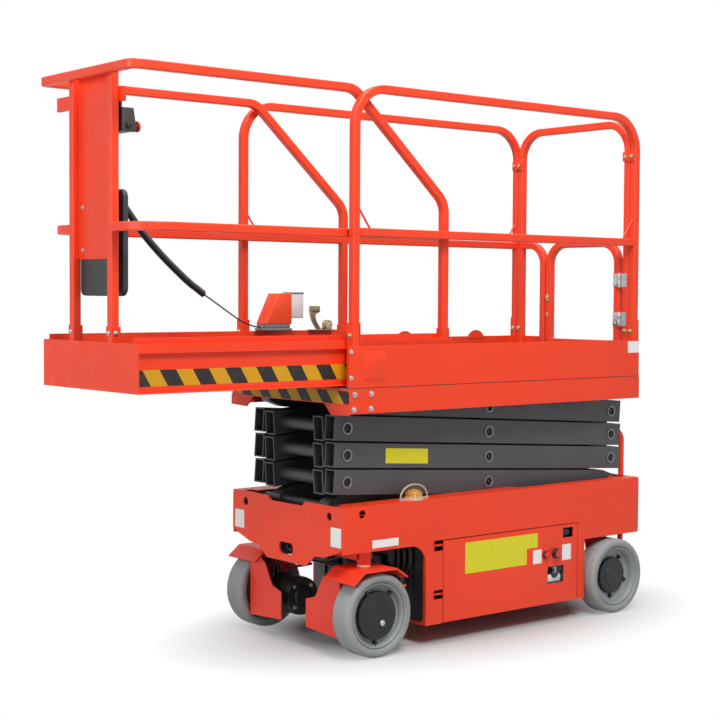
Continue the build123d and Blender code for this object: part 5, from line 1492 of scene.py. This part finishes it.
# ---------------------------------------------------------------- controls
@dataclass
class Controls:
    """Control box on its bracket, document box behind the panel, deck box and latch."""

    palette: Palette
    stop_button: Point = (0.058, 0.128, 1.949)     # X is measured back from the bracket
    cord_exit: Span = (1.602, 0.020)
    lid_half: float = 0.1145
    latch_y: Span = (-0.303, -0.269)
    latch_z: float = 1.220
    latch_pin: Span = (0.394, 1.243)
    deck_box_x: Span = (0.630, 0.762)
    deck_box_y: Span = (-0.294, -0.212)
    deck_box_z: float = 1.222

    def build(self) -> None:
        """Build and dress the boxes."""
        self.control_box()
        self.document_box()
        self.deck_box()
        self.lock_pedal()

    def control_box(self) -> None:
        """Sloped control box with its stop button, lever, side knob and gland."""
        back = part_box("control_box")[1][0]
        shell = Shape()
        outline = [(back, 1.930), (back - 0.052, 1.930), (back - 0.058, 1.938), (back - 0.046, 2.012),
                   (back, 2.012)]
        shell.plate([(x, -0.060, z) for x, z in outline], (0, 0.210, 0), 0.004, 3)
        shell.block((back - 0.008, -0.046, 2.010), (back, 0.136, 2.078), 0.003)
        shell.emit("control_box_shell", self.palette["grey_box"], "extension", "grey_plastic",
                   ["control_box"])
        trim = Shape()
        trim.block((back - 0.060, -0.052, 1.934), (back - 0.050, 0.142, 1.940), 0.001)
        self.lever(trim, back)
        trim.rod((back - 0.050, 0.128, 1.948), (back - 0.060, 0.128, 1.949), 0.0185, edge=0.001)
        trim.rod((back - 0.022, 0.149, 1.950), (back - 0.022, 0.162, 1.950), 0.0100, sides=6, edge=0.001)
        x, y = self.cord_exit
        trim.rod((x, y, 1.934), (x, y, 1.922), 0.008, sides=6, edge=0.0008)
        trim.rod((x, y, 1.923), (x, y, 1.908), 0.0065, 0.0036, sides=20, edge=0.0008)
        for y in (-0.040, -0.010, 0.056, 0.086):
            trim.rod((back - 0.052, y, 1.992), (back - 0.0575, y, 1.9925), 0.0060, 0.0052, sides=16,
                     edge=0.0006)
        trim.emit("control_box_trim", self.palette["hub"], "extension", "dark_plastic")
        depth, y, z = self.stop_button
        knob = Shape()
        knob.turned([(0.0, 0.0), (0.012, 0.0), (0.012, 0.006), (0.019, 0.009), (0.020, 0.013),
                     (0.0185, 0.017), (0.013, 0.0195), (0.0, 0.020)], (back - depth, y, z), (-1, 0, 0.06), 32)
        knob.emit("control_stop_button", self.palette["knob"], "extension", "red_plastic")

    def lever(self, shape: Shape, back: float) -> None:
        """Drive lever: bellows, stalk and round grip.

        Args:
            shape: Shape that it is added to.
            back: X of the bracket's face.
        """
        shape.rod((back - 0.050, 0.0, 1.970), (back - 0.066, 0.0, 1.972), 0.020, 0.014, edge=0.002)
        shape.rod((back - 0.066, 0.0, 1.972), (back - 0.102, 0.0, 1.975), 0.0065, edge=0.001)
        shape.rod((back - 0.098, 0.0, 1.9745), (back - 0.1175, 0.0, 1.976), 0.0105, 0.012, edge=0.004)

    def document_box(self) -> None:
        """Moulded manual holder: rounded back half, narrower front half, lid seam, ribs and latch."""
        low, high = (Vector(c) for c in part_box("document_box"))
        split = high.x - 0.024
        shell = Shape()
        outline = rounded_outline((low.y, low.z), (high.y, high.z - 0.003), 0.030, 8)
        shell.plate([(low.x + 0.001, y, z) for y, z in outline], (split - low.x - 0.001, 0, 0), 0.006, 3)
        outline = rounded_outline((-self.lid_half, low.z + 0.001), (self.lid_half, high.z - 0.006), 0.022, 8)
        shell.plate([(split - 0.008, y, z) for y, z in outline], (high.x - split + 0.008, 0, 0), 0.006, 3)
        shell.block((low.x, low.y + 0.006, 1.640), (split + 0.001, high.y - 0.006, 1.648), 0.003)
        for y in (-0.10, -0.05, 0.0, 0.05, 0.10):
            shell.block((low.x - 0.002, y - 0.005, 1.420), (low.x + 0.004, y + 0.005, 1.620), 0.0018)
        shell.emit("document_box_shell", self.palette["black_box"], "extension", "dark_plastic",
                   ["document_box"])
        latch = Shape()
        latch.block((low.x - 0.006, -0.014, 1.622), (low.x + 0.002, 0.014, 1.668), 0.002)
        latch.rod((low.x - 0.004, -0.011, 1.660), (low.x - 0.004, 0.011, 1.660), 0.0035, sides=16,
                  edge=0.0006)
        latch.emit("document_box_latch", self.palette["hub"], "extension", "dark_plastic")

    def lock_pedal(self) -> None:
        """Foot latch of the slide-out deck: cast hook, grooved roller on its pin and thin base."""
        (y0, y1), z = self.latch_y, self.latch_z
        hook = Shape()
        outline = [(0.428, 0.004), (0.437, 0.014), (0.450, 0.030), (0.459, 0.047), (0.461, 0.062),
                   (0.455, 0.070), (0.440, 0.074), (0.437, 0.082), (0.444, 0.101), (0.478, 0.100),
                   (0.484, 0.086), (0.482, 0.060), (0.474, 0.038), (0.462, 0.020), (0.450, 0.004)]
        hook.plate([(x, y0 + 0.008, z + dz) for x, dz in outline], (0, 0.018, 0), 0.003)
        hook.block((0.441, y0 + 0.004, z + 0.077), (0.482, y1 - 0.004, z + 0.101), 0.003)
        hook.emit("lock_hook", self.palette["gold"], "extension", "zinc", ["lock_pedal"])
        base = Shape()
        base.block((0.364, y0, z), (0.488, y1, z + 0.0035), 0.001)
        base.block((0.366, y0, z - 0.020), (0.486, y0 + 0.003, z + 0.001), 0.001)
        px, pz = self.latch_pin
        profile = [(0.0055, y0 + 0.004), (0.0185, y0 + 0.004)]
        for k in range(4):
            y = y0 + 0.006 + 0.006 * k
            profile += [(0.0200, y), (0.0200, y + 0.0035), (0.0172, y + 0.0040), (0.0172, y + 0.0055)]
        profile += [(0.0185, y1 - 0.004), (0.0055, y1 - 0.004)]
        base.turned(profile, (px, 0.0, pz), Axis.Y.value, 36)
        base.rod((px, y0 + 0.001, pz), (px, y1 + 0.001, pz), 0.0055, sides=20, edge=0.0008)
        for y in (y0 + 0.0005, y1 - 0.0035):
            ear = [(0.380, 0.002), (0.412, 0.002), (0.402, 0.030), (0.388, 0.030)]
            base.plate([(x, y, z + dz) for x, dz in ear], (0, 0.003, 0), 0.0006)
        base.emit("lock_roller", self.palette["pale_gold"], "extension", "zinc")

    def deck_box(self) -> None:
        """Socket box: sloped red hood, pale cover with its lid, grey base and cable gland."""
        (x0, x1), (y0, y1), z = self.deck_box_x, self.deck_box_y, self.deck_box_z
        hood = Shape()
        outline = [(x0, 0.026), (x1 - 0.004, 0.026), (x1 - 0.064, 0.150), (x0, 0.152)]
        hood.plate([(x, y0 + 0.004, z + dz) for x, dz in outline], (0, y1 - y0 - 0.008, 0), 0.004, 3)
        hood.emit("deck_box_hood", self.palette["red_box"], "extension", "red_plastic", ["deck_box"])
        cover = Shape()
        cover.block((x0 - 0.065, y0 + 0.011, z + 0.050), (x0 + 0.003, y1 - 0.011, z + 0.150), 0.005, 3)
        cover.emit("deck_box_cover", self.palette["pale_box"], "extension", "red_plastic")
        base = Shape()
        base.block((x0, y0, z), (x1, y1, z + 0.010), 0.003)
        base.block((x0 + 0.006, y0 + 0.006, z + 0.010), (x1 - 0.006, y1 - 0.006, z + 0.0265), 0.004)
        for k in range(6):
            x = x0 + 0.012 + 0.019 * k
            base.block((x, y0 + 0.002, z + 0.011), (x + 0.008, y1 - 0.002, z + 0.0255), 0.0015)
        base.block((x0 - 0.0655, y0 + 0.010, z + 0.1485), (x0 - 0.002, y1 - 0.010, z + 0.1555), 0.002)
        base.rod((x1 - 0.016, -0.252, 1.236), (x1, -0.252, 1.236), 0.0085, sides=6, edge=0.0008)
        base.emit("deck_box_base", self.palette["base_box"], "extension", "grey_plastic")
        clip = Shape()
        clip.block((x0 + 0.015, -0.308, 1.174), (x1 - 0.015, -0.3035, 1.224), 0.001)
        clip.block((x0 + 0.015, -0.3035, 1.2195), (x1 - 0.015, -0.290, 1.224), 0.001)
        clip.emit("deck_box_clip", self.palette["zinc"], "extension", "zinc")


# ---------------------------------------------------------------- studio
@dataclass
class Studio:
    """Camera, soft light, pale floor and white backdrop."""

    place: Point = (4.3372, 4.7613, 1.3770)
    yaw: float = 39.238
    pitch: float = 2.524
    roll: float = 0.341
    lens: float = 76.29
    sky: float = 0.34
    aim: Point = (0.2, 0.0, 0.9)
    floor_size: float = 30.0
    fade: Span = (0.40, 0.80)      # distances between which the floor turns white
    lamps: tuple[tuple[str, Point, float, float], ...] = (
        ("key", (1.6, 3.6, 5.2), 2.2, 235.0),
        ("top", (0.6, 0.4, 5.8), 2.2, 140.0),
        ("front", (6.2, 0.6, 2.6), 2.6, 115.0),
    )

    def build(self) -> None:
        """Set the camera, the light and the floor."""
        self.camera()
        self.light()
        self.floor()
        bpy.context.scene.view_settings.view_transform = "Standard"

    def camera(self) -> None:
        """Camera at the chosen place and angles."""
        yaw, pitch, roll = (math.radians(a) for a in (self.yaw, self.pitch, self.roll))
        ahead = Vector((-math.sin(yaw) * math.cos(pitch), -math.cos(yaw) * math.cos(pitch), -math.sin(pitch)))
        right = Vector((-math.cos(yaw), math.sin(yaw), 0.0))
        up = right.cross(ahead)
        tilted = right * math.cos(roll) + up * math.sin(roll)
        up = up * math.cos(roll) - right * math.sin(roll)
        turn = Matrix((tilted, up, -ahead)).transposed().to_4x4()
        lens = bpy.data.cameras.new("camera")
        lens.sensor_width = 36.0
        lens.lens = self.lens
        lens.clip_end = 100.0
        made = bpy.data.objects.new("camera", lens)
        made.matrix_world = Matrix.Translation(self.place) @ turn
        bpy.context.scene.collection.objects.link(made)
        bpy.context.scene.camera = made

    def light(self) -> None:
        """Soft lamps and a sky that shows white to the eye and in reflections."""
        for name, place, size, power in self.lamps:
            data = bpy.data.lights.new(name, "AREA")
            data.shape = "DISK"
            data.size = size
            data.energy = power
            lamp = bpy.data.objects.new(name, data)
            aim = Vector(self.aim) - Vector(place)
            turn = aim.to_track_quat("-Z", "Y").to_matrix().to_4x4()
            lamp.matrix_world = Matrix.Translation(place) @ turn
            bpy.context.scene.collection.objects.link(lamp)
        world = bpy.data.worlds.new("studio")
        bpy.context.scene.world = world
        graph = Graph(world)
        rays = graph.node("ShaderNodeLightPath").outputs
        seen = rays["Is Camera Ray"]
        for name in ("Is Transmission Ray", "Is Glossy Ray"):
            seen = graph.node("ShaderNodeMath", {0: seen, 1: rays[name]}, operation="MAXIMUM").outputs[0]
        level = graph.node("ShaderNodeMapRange", {"Value": seen, "To Min": self.sky, "To Max": 1.0})
        back = graph.node("ShaderNodeBackground", {"Color": (1, 1, 1, 1),
                                                   "Strength": level.outputs["Result"]})
        graph.node("ShaderNodeOutputWorld", {"Surface": back.outputs[0]})

    def floor(self) -> None:
        """Pale floor that fades to white away from the machine and keeps its shadow."""
        shape = Shape()
        bmesh.ops.create_grid(shape.bm, x_segments=2, y_segments=2, size=self.floor_size)
        mesh = bpy.data.meshes.new("floor")
        shape.bm.to_mesh(mesh)
        shape.bm.free()
        made = bpy.data.objects.new("floor", mesh)
        bpy.context.scene.collection.objects.link(made)
        ground = Surface("pale floor")
        place = ground.node("ShaderNodeTexCoord").outputs["Object"]
        squashed = ground.node("ShaderNodeMapping", {"Vector": place, "Scale": (0.60, 1.0, 1.0)})
        away = ground.node("ShaderNodeVectorMath", {0: squashed.outputs[0]}, operation="LENGTH")
        share = ground.node("ShaderNodeMapRange", {"Value": away.outputs["Value"], "From Min": self.fade[0],
                                                   "From Max": self.fade[1]})
        rays = ground.node("ShaderNodeLightPath").outputs
        seen = ground.node("ShaderNodeMath", {0: rays["Is Camera Ray"], 1: rays["Is Glossy Ray"]},
                           operation="MAXIMUM")
        factor = ground.node("ShaderNodeMath", {0: share.outputs["Result"], 1: seen.outputs[0]},
                             operation="MULTIPLY")
        white = ground.node("ShaderNodeEmission", {"Color": (1, 1, 1, 1), "Strength": 1.0})
        mix = ground.node("ShaderNodeMixShader", {0: factor.outputs[0], 1: ground.shader.outputs[0],
                                                  2: white.outputs[0]})
        ground.feed(ground.output, {"Surface": mix.outputs[0]})
        mesh.materials.append(ground.finished(Base_Color=srgb("BCBCBC"), Roughness=0.9,
                                              Specular_IOR_Level=0.1))


def main() -> None:
    """Build every piece in order."""
    logging.basicConfig(level=logging.INFO, format="%(name)s %(message)s")
    palette = Palette()
    Studio().build()
    FrameDress(palette).dress()
    SpringCord(palette).build()
    for end, axle_x in (("front", 0.669), ("rear", -0.669)):
        for side in Side:
            Wheel(palette, end, side, axle_x).build()
    Chassis(palette).build()
    for side in Side:
        SteeredCorner(palette, side).build()
    NoseMachinery(palette).build()
    for level in (1, 2, 3, 4):
        ArmLevel(palette, level).build()
    MainDeck(palette).build()
    SlideDeck(palette).build()
    Controls(palette).build()


if __name__ == "__main__":
    main()
